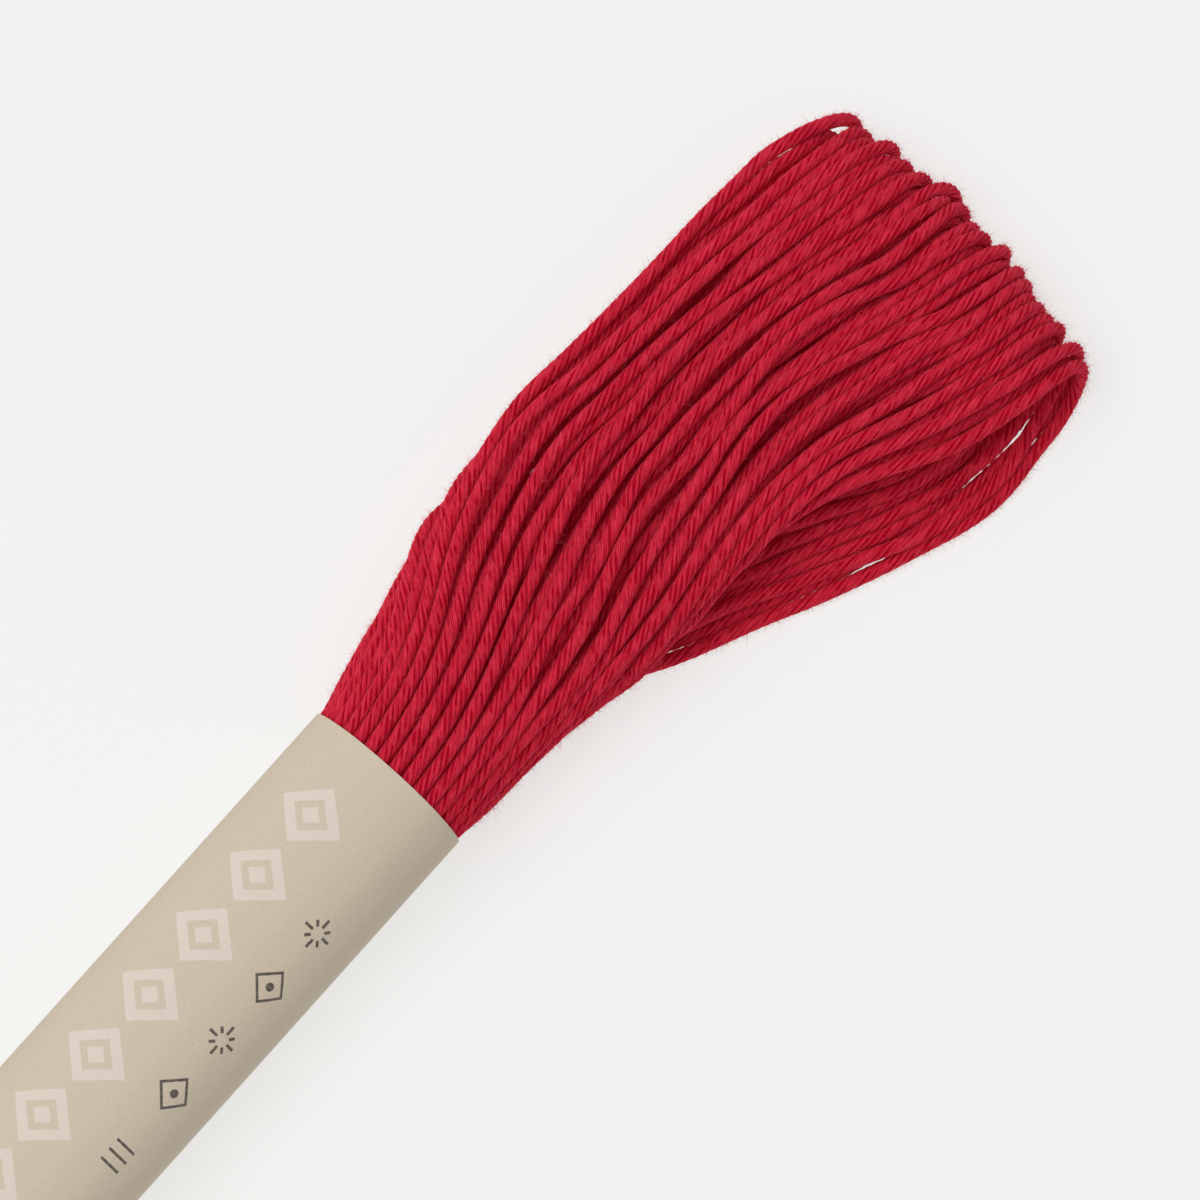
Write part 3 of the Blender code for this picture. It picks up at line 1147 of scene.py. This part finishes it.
@dataclass(frozen=True)
class PaperBand:
    """The strip of paper, wrapped once round the waist and glued where its ends overlap underneath.

    Args:
        form: the form it is wrapped into.
        overlap: length of the glued overlap.
        girth_points: points at which the length round the form is measured.
        sides: points along the strip, round the waist.
        steps: points across the strip, along the waist.
        tuck: how deep the inner end lies under the outer one, in thicknesses of the paper.
        tuck_length: length of paper in which it gets there.
        unevenness: how far the paper gives over the threads under it.
        lobes: how many such threads are felt round the waist, in each of a few waves.
        drift: how far such a wave turns along the waist, at most.
        bow: how much shorter the band is along its sides than along its top.
        crisp_from: bend between two faces from which their shared edge looks cut, not rounded.
        seed: start of its random numbers.
    """

    form: BandForm
    overlap: float = 5.0 * MM
    girth_points: int = 1441
    sides: int = 180
    steps: int = 28
    tuck: float = 1.15
    tuck_length: float = 2 * MM
    unevenness: float = 0.022 * MM
    lobes: tuple[int, ...] = (7, 11, 16)
    drift: float = 0.6
    bow: float = 0.2 * MM
    crisp_from: float = math.radians(40)
    seed: int = 7

    def girth(self) -> tuple[np.ndarray, np.ndarray]:
        """Angles round the form from its lowest line, and the length of paper up to each."""
        angles = np.linspace(-math.pi / 2, 1.5 * math.pi, self.girth_points)
        profile = self.form.ring(0.0, angles)
        steps = np.linalg.norm(np.diff(profile, axis=0), axis=1)
        return angles, np.concatenate([[0.0], np.cumsum(steps)])

    def flat_size(self) -> tuple[float, float]:
        """Width and length that the strip was cut to."""
        return self.form.high.x - self.form.low.x, float(self.girth()[1][-1]) + self.overlap

    def surface(self, cover: np.ndarray, depth: float) -> np.ndarray:
        """One side of the strip.

        Args:
            cover: lengths along the strip, from its inner end.
            depth: how deep in the paper this side lies.

        Returns:
            Points, one row for each length, from the front mouth to the back one.
        """
        angles, lengths = self.girth()
        wrapped = np.interp((cover - self.overlap / 2) % lengths[-1], lengths, angles)
        tucked = 1 - ease(cover, self.overlap, self.overlap + self.tuck_length)
        under = self.tuck * self.form.paper * tucked
        xs = np.linspace(self.form.high.x, self.form.low.x, self.steps)
        middle = (self.form.high.x + self.form.low.x) / 2
        drawn_in = 1 - self.bow * np.cos(wrapped) ** 2 / (self.form.high.x - middle)
        random = np.random.default_rng(self.seed)
        give = np.zeros((len(cover), self.steps))
        for lobes in self.lobes:
            phase = random.uniform(0, 2 * math.pi)
            drift = random.uniform(-self.drift, self.drift) * np.linspace(-3, 3, self.steps)
            give += np.sin(lobes * wrapped[:, None] + phase + drift) / len(self.lobes)
        points = np.empty((len(cover), self.steps, 3))
        for step, x in enumerate(xs):
            inset = depth + under + self.unevenness * (1 + give[:, step])
            points[:, step, 0] = middle + (x - middle) * drawn_in
            points[:, step, 1:] = self.form.rings(inset, wrapped)
        return points

    def build(self, finish: bpy.types.Material) -> bpy.types.Object:
        """The band as one closed mesh of the strip's outside, inside and edges.

        Args:
            finish: its material.

        Returns:
            The new object, in the scene.
        """
        girth = self.girth()[1][-1]
        cover = np.linspace(0, girth + self.overlap, self.sides)
        outside = self.surface(cover, 0.0)
        inside = self.surface(cover, self.form.paper)
        middle = (outside[[0, -1]] + inside[[0, -1]]) / 2
        outside = np.concatenate([middle[:1], outside, middle[1:]])
        inside = np.concatenate([middle[:1], inside, middle[1:]])
        rings = np.concatenate([outside, inside[:, ::-1]], axis=1)
        cover = np.concatenate([cover[:1], cover, cover[-1:]])
        across = np.linspace(0, self.form.high.x - self.form.low.x, self.steps) / MM
        around = np.concatenate([across, across[::-1] + UNPRINTED, across[:1]])
        maker = MeshMaker()
        maker.tube(rings, around, (cover - (girth + self.overlap) / 2) / MM, 0.5)
        sleeve = maker.finish("paper_band_sleeve", finish)
        welded = bmesh.new()
        welded.from_mesh(sleeve.data)
        bmesh.ops.remove_doubles(welded, verts=welded.verts, dist=0.0001 * MM)
        for edge in welded.edges:
            edge.smooth = edge.calc_face_angle(0.0) < self.crisp_from
        welded.to_mesh(sleeve.data)
        welded.free()
        return sleeve


# ---------------------------------------------------------------- shader maths


class Signal:
    """A socket's value in a shader, which can be added, multiplied and shaped."""

    def __init__(self, graph: "Graph", socket: bpy.types.NodeSocket) -> None:
        """Wraps the socket."""
        self.graph = graph
        self.socket = socket

    def maths(self, operation: str, *others: "Signal | float", flipped: bool = False) -> "Signal":
        """A Math node on this value and the others.

        Args:
            operation: the node's operation.
            others: the other values.
            flipped: whether this value comes last.

        Returns:
            The node's result.
        """
        values = [*others, self] if flipped else [self, *others]
        return self.graph.node("ShaderNodeMath", {"operation": operation}, *values)[0]

    def __add__(self, other: "Signal | float") -> "Signal":
        """Sum."""
        return self.maths("ADD", other)

    __radd__ = __add__

    def __mul__(self, other: "Signal | float") -> "Signal":
        """Product."""
        return self.maths("MULTIPLY", other)

    __rmul__ = __mul__

    def __sub__(self, other: "Signal | float") -> "Signal":
        """Difference."""
        return self.maths("SUBTRACT", other)

    def __rsub__(self, other: float) -> "Signal":
        """Difference from a number."""
        return self.maths("SUBTRACT", other, flipped=True)

    def __truediv__(self, other: "Signal | float") -> "Signal":
        """Quotient."""
        return self.maths("DIVIDE", other)

    def __pow__(self, other: float) -> "Signal":
        """Power."""
        return self.maths("POWER", other)

    def __abs__(self) -> "Signal":
        """Value without its sign."""
        return self.maths("ABSOLUTE")

    def lesser(self, other: "Signal | float") -> "Signal":
        """The lower of two values."""
        return self.maths("MINIMUM", other)

    def greater(self, other: "Signal | float") -> "Signal":
        """The higher of two values."""
        return self.maths("MAXIMUM", other)

    def fraction(self) -> "Signal":
        """The part after the point."""
        return self.maths("FRACT")

    def whole(self) -> "Signal":
        """The part before the point."""
        return self.maths("FLOOR")

    def stepped(self, low: float, high: float) -> "Signal":
        """0 below low, 1 above high, and a smooth step between."""
        settings = {"interpolation_type": "SMOOTHSTEP"}
        return self.graph.node("ShaderNodeMapRange", settings, self, low, high)[0]

    def within(self, low: float, high: float, soft: float) -> "Signal":
        """1 between low and high, 0 outside them, with soft edges."""
        return self.stepped(low - soft, low + soft) * (1.0 - self.stepped(high - soft, high + soft))


class Graph:
    """The nodes of one material."""

    def __init__(self, name: str) -> None:
        """Starts a material with a Principled shader.

        Args:
            name: name of the material.
        """
        self.material = bpy.data.materials.new(name)
        self.material.use_nodes = True
        self.tree = self.material.node_tree
        self.shader = self.tree.nodes["Principled BSDF"]

    def node(
        self, kind: str, settings: dict[str, object], *values: object, **named: object
    ) -> list[Signal]:
        """Adds a node.

        Args:
            kind: the node's type.
            settings: its properties, set first.
            values: values or links of its enabled sockets, in order.
            named: values or links of its sockets by name, with _ for a space.

        Returns:
            The node's enabled outputs.
        """
        made = self.tree.nodes.new(kind)
        for key, value in settings.items():
            setattr(made, key, value)
        sockets = [socket for socket in made.inputs if socket.enabled]
        pairs = list(zip(sockets, values))
        for name, value in named.items():
            wanted = name.replace("_", " ")
            pairs.append((next(socket for socket in sockets if socket.name == wanted), value))
        for socket, value in pairs:
            self.feed(socket, value)
        return [Signal(self, socket) for socket in made.outputs if socket.enabled]

    def feed(self, socket: bpy.types.NodeSocket, value: object) -> None:
        """Links a value to a socket, or sets it.

        Args:
            socket: the socket.
            value: a signal to link, a value to set, or None to leave it as it is.
        """
        if isinstance(value, Signal):
            self.tree.links.new(value.socket, socket)
        elif value is not None:
            socket.default_value = value

    def mixed(self, share: Signal | float, first: object, second: object) -> Signal:
        """The first colour where share is 0, and the second where it is 1."""
        settings = {"data_type": "RGBA", "clamp_factor": True}
        return self.node("ShaderNodeMix", settings, share, first, second)[0]

    def lay(self) -> tuple[Signal, Signal, Signal]:
        """The place on the map that every mesh has, and its two coordinates."""
        place = self.node("ShaderNodeUVMap", {"uv_map": "lay"})[0]
        first, second, _ = self.node("ShaderNodeSeparateXYZ", {}, place)
        return place, first, second

    def tone(self) -> Signal:
        """The number of 0 to 1 that every thread and every fibre has of its own."""
        return self.node("ShaderNodeAttribute", {"attribute_name": "tone"})[2]

    def point(self, *values: Signal | float) -> Signal:
        """A point from its three coordinates."""
        return self.node("ShaderNodeCombineXYZ", {}, *values)[0]

    def noise(self, place: Signal, scale: float, detail: float) -> Signal:
        """Noise of about 0 to 1 at a place."""
        return self.node("ShaderNodeTexNoise", {}, Vector=place, Scale=scale, Detail=detail)[0]

    def bump(self, height: Signal, strength: float, depth: float) -> Signal:
        """The surface's direction where it is raised by a height of 0 to 1."""
        return self.node("ShaderNodeBump", {}, Strength=strength, Distance=depth, Height=height)[0]

    def set(self, **sockets: object) -> None:
        """Sets or links sockets of the shader, with _ for a space in their names."""
        for name, value in sockets.items():
            self.feed(self.shader.inputs[name.replace("_", " ")], value)


Colour = tuple[float, float, float, float]


@dataclass(frozen=True)
class ThreadFinish:
    """Dyed cotton, matt and a little fuzzy, with painted shade in dashes along the creases between its
    plies.

    Args:
        crest: colour of the plies' crests, a painted highlight that is lighter and pinker than the flanks.
        lit: colour of their flanks.
        deep: colour of the creases, a painted shade, and also the dark end of the dye's slow change.
        glow: a painted glow that stands in for the light that the fibres pass on to each other.
        roughness: of the fibres.
        crease_dashes: dashes of painted shade in a millimetre of the creases between plies.
        strands: finer strands in each ply.
        strand_dashes: dashes of painted shade in a millimetre of the lines between those.
        strand_depth: how dark the painted shade in those lines is against that in the creases.
        hair_grain: how fine the fibres' streaks are, across the plies and along the thread.
        cloud_grain: the same for the slow change of the dye.
    """

    crest: Colour = (0.775, 0.050, 0.092, 1.0)
    lit: Colour = (0.60, 0.0015, 0.0315, 1.0)
    deep: Colour = (0.36, 0.0001, 0.011, 1.0)
    glow: Colour = (1.0, 0.0, 0.04, 1.0)
    roughness: float = 0.8
    crease_dashes: float = 0.9
    strands: float = 3.0
    strand_dashes: float = 1.2
    strand_depth: float = 0.72
    hair_grain: tuple[float, float] = (14.0, 1.8)
    cloud_grain: tuple[float, float] = (0.8, 0.55)

    def build(self) -> bpy.types.Material:
        """Makes the material.

        Returns:
            The new material.
        """
        graph = Graph("dyed_cotton")
        _, across, along = graph.lay()
        tone = graph.tone()
        # Mask of painted shade in the creases and in the lines between strands; it also sinks them in the
        # bump.
        crease = self.creases(graph, across, along, tone, self.crease_dashes).stepped(0.3, 0.95)
        strand = self.creases(graph, across * self.strands, along, tone + 3.0, self.strand_dashes)
        groove_shade = crease.greater(strand.stepped(0.25, 0.9) * self.strand_depth)
        hair_x, hair_y = self.hair_grain
        hairs = graph.noise(graph.point(across * hair_x, along * hair_y, tone * 90.0), 1.0, 3.0)
        hairs = hairs.stepped(0.3, 0.7)
        cloud_x, cloud_y = self.cloud_grain
        cloud = graph.noise(graph.point(across * cloud_x, along * cloud_y, tone * 50.0), 1.0, 2.0)
        cloud = cloud.stepped(0.35, 0.7)
        # Painted highlight: away from the creases the flanks turn to the lighter crest colour, broken by
        # fibre streaks.
        body = graph.mixed((1.0 - groove_shade) * (hairs * 0.55 + 0.45), self.lit, self.crest)
        graph.set(
            # Painted shade darkens the creases and strand lines to the deep colour; the dye's slow change
            # does so a little.
            Base_Color=graph.mixed(groove_shade * 0.86 + cloud * 0.12, body, self.deep),
            Roughness=self.roughness,
            Subsurface_Weight=0.8,
            Subsurface_Radius=(1.0, 0.08, 0.16),
            Subsurface_Scale=0.45 * MM,
            # A painted glow: faint red light given off by the thread lifts its shaded gaps.
            Emission_Color=self.glow,
            Emission_Strength=0.022,
            Sheen_Weight=0.04,
            Sheen_Roughness=0.5,
            Sheen_Tint=(1.0, 0.4, 0.45, 1.0),
            Specular_IOR_Level=0.04,
            Normal=graph.bump(hairs * 0.3 - groove_shade, 0.5, 0.07 * MM),
        )
        return graph.material

    def creases(self, graph: Graph, across: Signal, along: Signal, tone: Signal, dashes: float) -> Signal:
        """Broken creases where across is a whole number, each in dashes of its own: the mask of the painted
        shade.

        Args:
            graph: the material's nodes.
            across: place across the plies.
            along: place along the thread, in millimetres.
            tone: the thread's own number.
            dashes: how many dashes there are in a millimetre.

        Returns:
            1 in the middle of a dash, 0 between creases.
        """
        near = abs(across.fraction() - 0.5) * 2.0
        number = (across + 0.5).whole()
        broken = graph.noise(graph.point(number * 7.3, along * dashes, tone * 70.0), 1.0, 1.0)
        return near * (broken.stepped(0.36, 0.6) * 0.6 + 0.4)


@dataclass(frozen=True)
class FibreFinish:
    """Loose ends of the same cotton, paler towards their tips by a painted sheen.

    Args:
        root: colour at their roots.
        tip: colour at their tips, paler by a painted sheen.
        roughness: of the fibres.
    """

    root: Colour = (0.70, 0.03, 0.06, 1.0)
    tip: Colour = (0.82, 0.16, 0.20, 1.0)
    roughness: float = 0.8

    def build(self) -> bpy.types.Material:
        """Makes the material.

        Returns:
            The new material.
        """
        graph = Graph("loose_cotton")
        along = graph.lay()[2]
        # Painted sheen: each fibre pales towards its tip, and some fibres are paler than others at random.
        share = along * 0.6 + (graph.tone() * 17.0).fraction() * 0.4
        colour = graph.mixed(share, self.root, self.tip)
        graph.set(Base_Color=colour, Roughness=self.roughness, Specular_IOR_Level=0.1)
        return graph.material


@dataclass(frozen=True)
class Border:
    """Where a row of printed motifs runs on the band, in millimetres.

    Args:
        first: distance of the first motif's middle from the mouth.
        pitch: distance between neighbouring motifs.
        aside: distance of the row from the band's top line, towards its right.
        last: number of the last motif.
    """

    first: float
    pitch: float
    aside: float
    last: int

    def cells(self, along: Signal, across: Signal) -> tuple[Signal, Signal, Signal, Signal]:
        """Divides the row into its motifs.

        Args:
            along: distance from the mouth.
            across: distance from the band's top line.

        Returns:
            Place along and across in the motif, its number, and whether it is there.
        """
        counted = (along - (self.first - self.pitch / 2)) / self.pitch
        number = counted.whole()
        shown = number.within(-0.5, self.last + 0.5, 0.1)
        return (counted.fraction() - 0.5) * self.pitch, across - self.aside, number, shown


@dataclass(frozen=True)
class PaperFinish:
    """Thin kraft paper, printed with a row of pale lozenges and a few small dark ornaments.

    Args:
        length: length of the band, in millimetres.
        paper: colour of the paper.
        shade: colour of its darker flecks.
        pale: the pale print.
        ink: the dark print.
        roughness: of the paper.
        lozenges: the row of pale lozenges.
        ornaments: the row of small dark ornaments.
        closing: the dashes that close it.
    """

    length: float
    paper: Colour = (0.705, 0.605, 0.475, 1.0)
    shade: Colour = (0.62, 0.525, 0.40, 1.0)
    pale: Colour = (0.81, 0.72, 0.64, 1.0)
    ink: Colour = (0.055, 0.045, 0.05, 1.0)
    roughness: float = 0.7
    lozenges: Border = Border(5.05, 4.6, -1.5, 6)
    ornaments: Border = Border(9.8, 4.1, 3.45, 3)
    closing: Border = Border(26.9, 4.1, 3.45, 0)

    def build(self) -> bpy.types.Material:
        """Makes the material.

        Returns:
            The new material.
        """
        graph = Graph("kraft_paper")
        place, along_band, round_waist = graph.lay()
        from_mouth = self.length / 2 - abs(along_band - self.length / 2)
        wobble = (graph.noise(place, 3.2, 2.0) - 0.5) * 0.05
        grain = graph.noise(place, 5.5, 5.0).stepped(0.3, 0.75)
        flecks = graph.noise(graph.point(along_band * 4.0, round_waist * 1.6, 0.0), 1.0, 3.0)
        flecks = flecks.stepped(0.6, 0.78)
        paper = graph.mixed(grain * 0.55 + flecks * 0.45, self.paper, self.shade)
        pale = self.lozenge(from_mouth, round_waist, wobble)
        ink = self.ornament(from_mouth, round_waist, wobble)
        printed = graph.mixed(pale * (0.92 - grain * 0.25), paper, self.pale)
        printed = graph.mixed(ink * (0.96 - grain * 0.22), printed, self.ink)
        graph.set(
            Base_Color=printed,
            Roughness=self.roughness - ink * 0.15,
            Specular_IOR_Level=0.25,
            Normal=graph.bump(grain + flecks * 0.5, 0.12, 0.03 * MM),
        )
        return graph.material

    def lozenge(self, along: Signal, across: Signal, wobble: Signal) -> Signal:
        """The row of lozenges: each an outline round a small solid one, with its sizes in millimetres.

        Args:
            along: distance from the mouth.
            across: distance from the band's top line.
            wobble: unevenness of the printed edges.

        Returns:
            1 where there is print.
        """
        u, v, _, shown = self.lozenges.cells(along, across)
        half_length = 2.0
        half_width = 2.25
        to_edge = 1.495
        outline = 0.62
        core = 1.0
        inward = (1.0 - abs(u) / half_length - abs(v) / half_width) * to_edge + wobble
        solid = inward.stepped(core, core + 0.07)
        return (inward.within(0.0, outline, 0.035) + solid).lesser(1.0) * shown

    def ornament(self, along: Signal, across: Signal, wobble: Signal) -> Signal:
        """The row of ornaments, stars of dashes and dotted squares by turns, and its closing dashes.

        Args:
            along: distance from the mouth.
            across: distance from the band's top line.
            wobble: unevenness of the printed edges.

        Returns:
            1 where there is print.
        """
        u, v, number, shown = self.ornaments.cells(along, across)
        odd = (number / 2.0).fraction() * 2.0
        far = (u * u + v * v) ** 0.5
        straight = abs(u).lesser(abs(v)) + wobble
        diagonal = abs(abs(u) - abs(v)) * math.sqrt(0.5) + wobble
        thin = (0.07, 0.12)
        short = 1.0 - far.stepped(0.8, 0.84)
        star = (1.0 - straight.stepped(*thin)).greater((1.0 - diagonal.stepped(*thin)) * short)
        arms = far.within(0.42, 1.02, 0.03)
        dot = 1.0 - far.stepped(0.24, 0.3)
        square = (abs(u) + abs(v) + wobble).within(0.98, 1.22, 0.035).greater(dot)
        marks = (star * arms * (1.0 - odd) + square * odd) * shown
        u, v, _, shown = self.closing.cells(along, across)
        half_row = 1.05
        pitch = 0.7
        dash = abs(((u + half_row) / pitch).fraction() - 0.5) * pitch + wobble
        dashes = (1.0 - dash.stepped(0.06, 0.11)) * u.within(-half_row, half_row, 0.02)
        return marks.greater(dashes * v.within(-0.75, 0.75, 0.03) * shown)


@dataclass(frozen=True)
class FloorFinish:
    """A plain pale surface.

    Args:
        pale: its colour.
        glow: its own light, which keeps it even.
    """

    pale: Colour = (0.23, 0.23, 0.228, 1.0)
    glow: Colour = (0.695, 0.695, 0.686, 1.0)

    def build(self) -> bpy.types.Material:
        """Makes the material.

        Returns:
            The new material.
        """
        graph = Graph("pale_surface")
        graph.set(
            Base_Color=self.pale,
            Roughness=0.9,
            Specular_IOR_Level=0.0,
            Emission_Color=self.glow,
            Emission_Strength=1.0,
        )
        return graph.material


# ---------------------------------------------------------------- the studio


@dataclass(frozen=True)
class Studio:
    """Camera, light and surface.

    Args:
        target: the point in the middle of the view.
        frame_width: how much the view takes in, at the target.
        distance: of the camera from the target.
        tilt: how far the camera leans from looking straight down.
        heading: angle from the view's right to the skein's length.
        lamp_place: distances of the lamp from the target, to the view's right, to its top, and up.
        lamp_size: side of the lamp.
        lamp_power: in watts.
        sky: strength of the soft light from all round.
        sky_colour: its colour.
        floor_reach: how far the surface reaches on each side.
    """

    target: Vector
    frame_width: float = 69.1 * MM
    distance: float = 0.9
    tilt: float = math.radians(6.4)
    heading: float = math.radians(48.3)
    lamp_place: tuple[float, float, float] = (-0.27, 0.05, 0.75)
    lamp_size: float = 0.60
    lamp_power: float = 4.25
    sky: float = 0.32
    sky_colour: Colour = (1.0, 0.995, 0.985, 1.0)
    floor_reach: float = 1.5

    @property
    def right(self) -> Vector:
        """The view's right in the frame of the part."""
        return Vector((math.cos(self.heading), -math.sin(self.heading), 0))

    @property
    def up(self) -> Vector:
        """The view's up, laid on the surface."""
        return Vector((math.sin(self.heading), math.cos(self.heading), 0))

    def camera(self) -> None:
        """Adds the camera and makes it the scene's."""
        data = bpy.data.cameras.new("camera")
        data.sensor_width = 36
        data.lens = data.sensor_width * self.distance / self.frame_width
        data.clip_start = 0.01
        data.clip_end = 10
        holder = put_in("camera", data)
        back = Vector((0, 0, 1)) * math.cos(self.tilt) - self.up * math.sin(self.tilt)
        above = back.cross(self.right)
        turned = Matrix((self.right, above, back)).transposed().to_4x4()
        holder.matrix_world = Matrix.Translation(self.target + back * self.distance) @ turned
        bpy.context.scene.camera = holder

    def light(self) -> None:
        """Adds a lamp, a soft box that looks at the target, and the soft light from all round."""
        data = bpy.data.lights.new("key", "AREA")
        data.energy = self.lamp_power
        data.size = self.lamp_size
        holder = put_in("key", data)
        sideways, upwards, height = self.lamp_place
        place = self.right * sideways + self.up * upwards + Vector((0, 0, height))
        holder.location = self.target + place
        holder.rotation_mode = "QUATERNION"
        holder.rotation_quaternion = place.to_track_quat("Z", "Y")
        world = bpy.data.worlds.new("studio")
        world.use_nodes = True
        sky = world.node_tree.nodes["Background"]
        sky.inputs["Color"].default_value = self.sky_colour
        sky.inputs["Strength"].default_value = self.sky
        bpy.context.scene.world = world
        bpy.context.scene.view_settings.view_transform = "Standard"

    def floor(self, finish: bpy.types.Material) -> None:
        """Adds the surface that the skein lies on.

        Args:
            finish: its material.
        """
        side = self.floor_reach
        mesh = bpy.data.meshes.new("surface")
        corners = [(-side, -side, 0), (side, -side, 0), (side, side, 0), (-side, side, 0)]
        mesh.from_pydata(corners, [], [(0, 1, 2, 3)])
        mesh.materials.append(finish)
        floor = put_in("surface", mesh)


# ---------------------------------------------------------------- the whole skein


@dataclass(frozen=True)
class Dressing:
    """How finely the turns of a loop end are covered, and how fuzzy they are.

    Args:
        coverings: how many turns take each covering, the most exposed turns first.
        fibres: the loose fibres on the exposed turns.
        most: how many turns one piece holds.
    """

    coverings: tuple[tuple[int, Covering], ...]
    fibres: LooseFibres
    most: int = 13


@dataclass(frozen=True)
class Skein:
    """All turns of the thread: two loop ends, and the waist between them inside the band.

    Args:
        thread: the thread.
        band: the form of the paper band.
        settling: how they settle.
        cotton: the thread's finish.
        fuzz: the finish of its loose fibres.
        waist: covering of the turns inside the band, which is closed round them.
        waist_points: points along each of them.
        overrun: how far they reach into the loop ends' turns, as a share of their length.
    """

    thread: Thread
    band: BandForm
    settling: Settling
    cotton: bpy.types.Material
    fuzz: bpy.types.Material
    waist: Covering = Covering(per_ply=1, step=2.0 * MM)
    waist_points: int = 40
    overrun: float = 0.01

    def loop(self, loop: LoopEnd, dressing: Dressing) -> np.ndarray:
        """Builds one loop end.

        Args:
            loop: its layout.
            dressing: how its turns are covered.

        Returns:
            The settled route of every turn.
        """
        mouth_x = self.band.high.x if loop.ahead > 0 else self.band.low.x
        mouth = Vector((mouth_x, self.band.axis[0], 0))
        settled = self.settling.settle(loop.lay_out(mouth), self.band)
        ranked = np.argsort(-self.exposure(settled), kind="stable")
        random = np.random.default_rng(loop.seed + 1)
        used = 0
        for level, (count, covering) in enumerate(dressing.coverings):
            members = ranked[used : used + count]
            used += count
            for part in range(0, len(members), dressing.most):
                maker = MeshMaker()
                for turn in members[part : part + dressing.most]:
                    covering.cover(maker, settled[turn], self.thread, random)
                number = part // dressing.most + 1
                self.put_on(maker, f"{loop.name}_turns_{level + 1}_{number}", self.cotton)
        maker = MeshMaker()
        hidden = dressing.coverings[-1][0]
        crowd = Crowd(settled, self.thread.radius)
        dressing.fibres.build(maker, settled[ranked[:-hidden]], crowd, self.thread, loop.seed + 2)
        self.put_on(maker, f"{loop.name}_fibres", self.fuzz)
        return settled

    def between(self, front: np.ndarray, back: np.ndarray) -> None:
        """Builds the straight runs inside the band, from each front turn's ends to its back one's.

        Args:
            front: the settled routes of the front loop end.
            back: those of the back one.
        """
        maker = MeshMaker()
        random = np.random.default_rng(SEED)
        share = np.linspace(-self.overrun, 1 + self.overrun, self.waist_points)[:, None]
        for end in (0, -1):
            for start, stop in zip(front[:, end], back[:, end]):
                self.waist.cover(maker, start + (stop - start) * share, self.thread, random)
        self.put_on(maker, "waist_turns", self.cotton)

    def exposure(self, settled: np.ndarray) -> np.ndarray:
        """How much of each turn shows from above, and half as much from below.

        Args:
            settled: the settled route of every turn.

        Returns:
            One number for each turn, higher where more shows.
        """
        turns, count, _ = settled.shape
        points = settled.reshape(-1, 3)
        cells = np.floor((points[:, :2] - points[:, :2].min(axis=0)) / self.thread.diameter).astype(int)
        code = cells[:, 0] * (cells[:, 1].max() + 1) + cells[:, 1]
        shown = np.zeros(turns)
        for side, weight in ((1, 1.0), (-1, 0.5)):
            order = np.lexsort((side * points[:, 2], code))
            last = np.flatnonzero(np.diff(code[order], append=-1))
            shown += weight * np.bincount(order[last] // count, minlength=turns)
        return shown

    def put_on(self, maker: MeshMaker, name: str, finish: bpy.types.Material) -> None:
        """Turns the collected grids into a piece of the skein.

        Args:
            maker: holds the grids.
            name: name of the piece.
            finish: its material.
        """
        piece = maker.finish(name, finish)
        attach(piece, "root")
        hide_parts("skein")
        log.info("%s: %d triangles", name, 2 * len(piece.data.polygons))


def main() -> None:
    """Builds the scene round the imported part."""
    logging.basicConfig(level=logging.INFO, format="%(name)s: %(message)s")
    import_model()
    low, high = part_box("paper_band")
    band = BandForm(low, high)
    thread = Thread()
    winding = Winding()
    view_middle = Vector((53.1 * MM, 1.03 * MM, 5.0 * MM))
    studio = Studio(view_middle)
    studio.camera()
    studio.light()
    studio.floor(FloorFinish().build())
    skein = Skein(thread, band, Settling(), ThreadFinish().build(), FibreFinish().build())
    fine = Covering(per_ply=3, step=0.36 * MM)
    plain = Covering(per_ply=2, step=0.44 * MM)
    coarse = Covering(per_ply=2, step=0.62 * MM)
    front = skein.loop(
        LoopEnd("front", FRONT_LOOP, 1, SEED, FAN_GAPS, FRONT_TIP, winding, thread),
        Dressing(((24, fine), (14, plain), (21, coarse)), LooseFibres(22000)),
    )
    back = skein.loop(
        LoopEnd("back", BACK_LOOP, -1, SEED + 5, FAN_GAPS[::-1], LEVEL_TIP, winding, thread),
        Dressing(((18, plain), (41, coarse)), LooseFibres(8000)),
    )
    skein.between(front, back)
    strip = PaperBand(band)
    sleeve = strip.build(PaperFinish((high.x - low.x) / MM).build())
    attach(sleeve, "root")
    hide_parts("paper_band")
    strip.flat_size()
    log.info("paper band: cut to %.1f x %.1f mm", *(size / MM for size in strip.flat_size()))


if __name__ == "__main__":
    main()
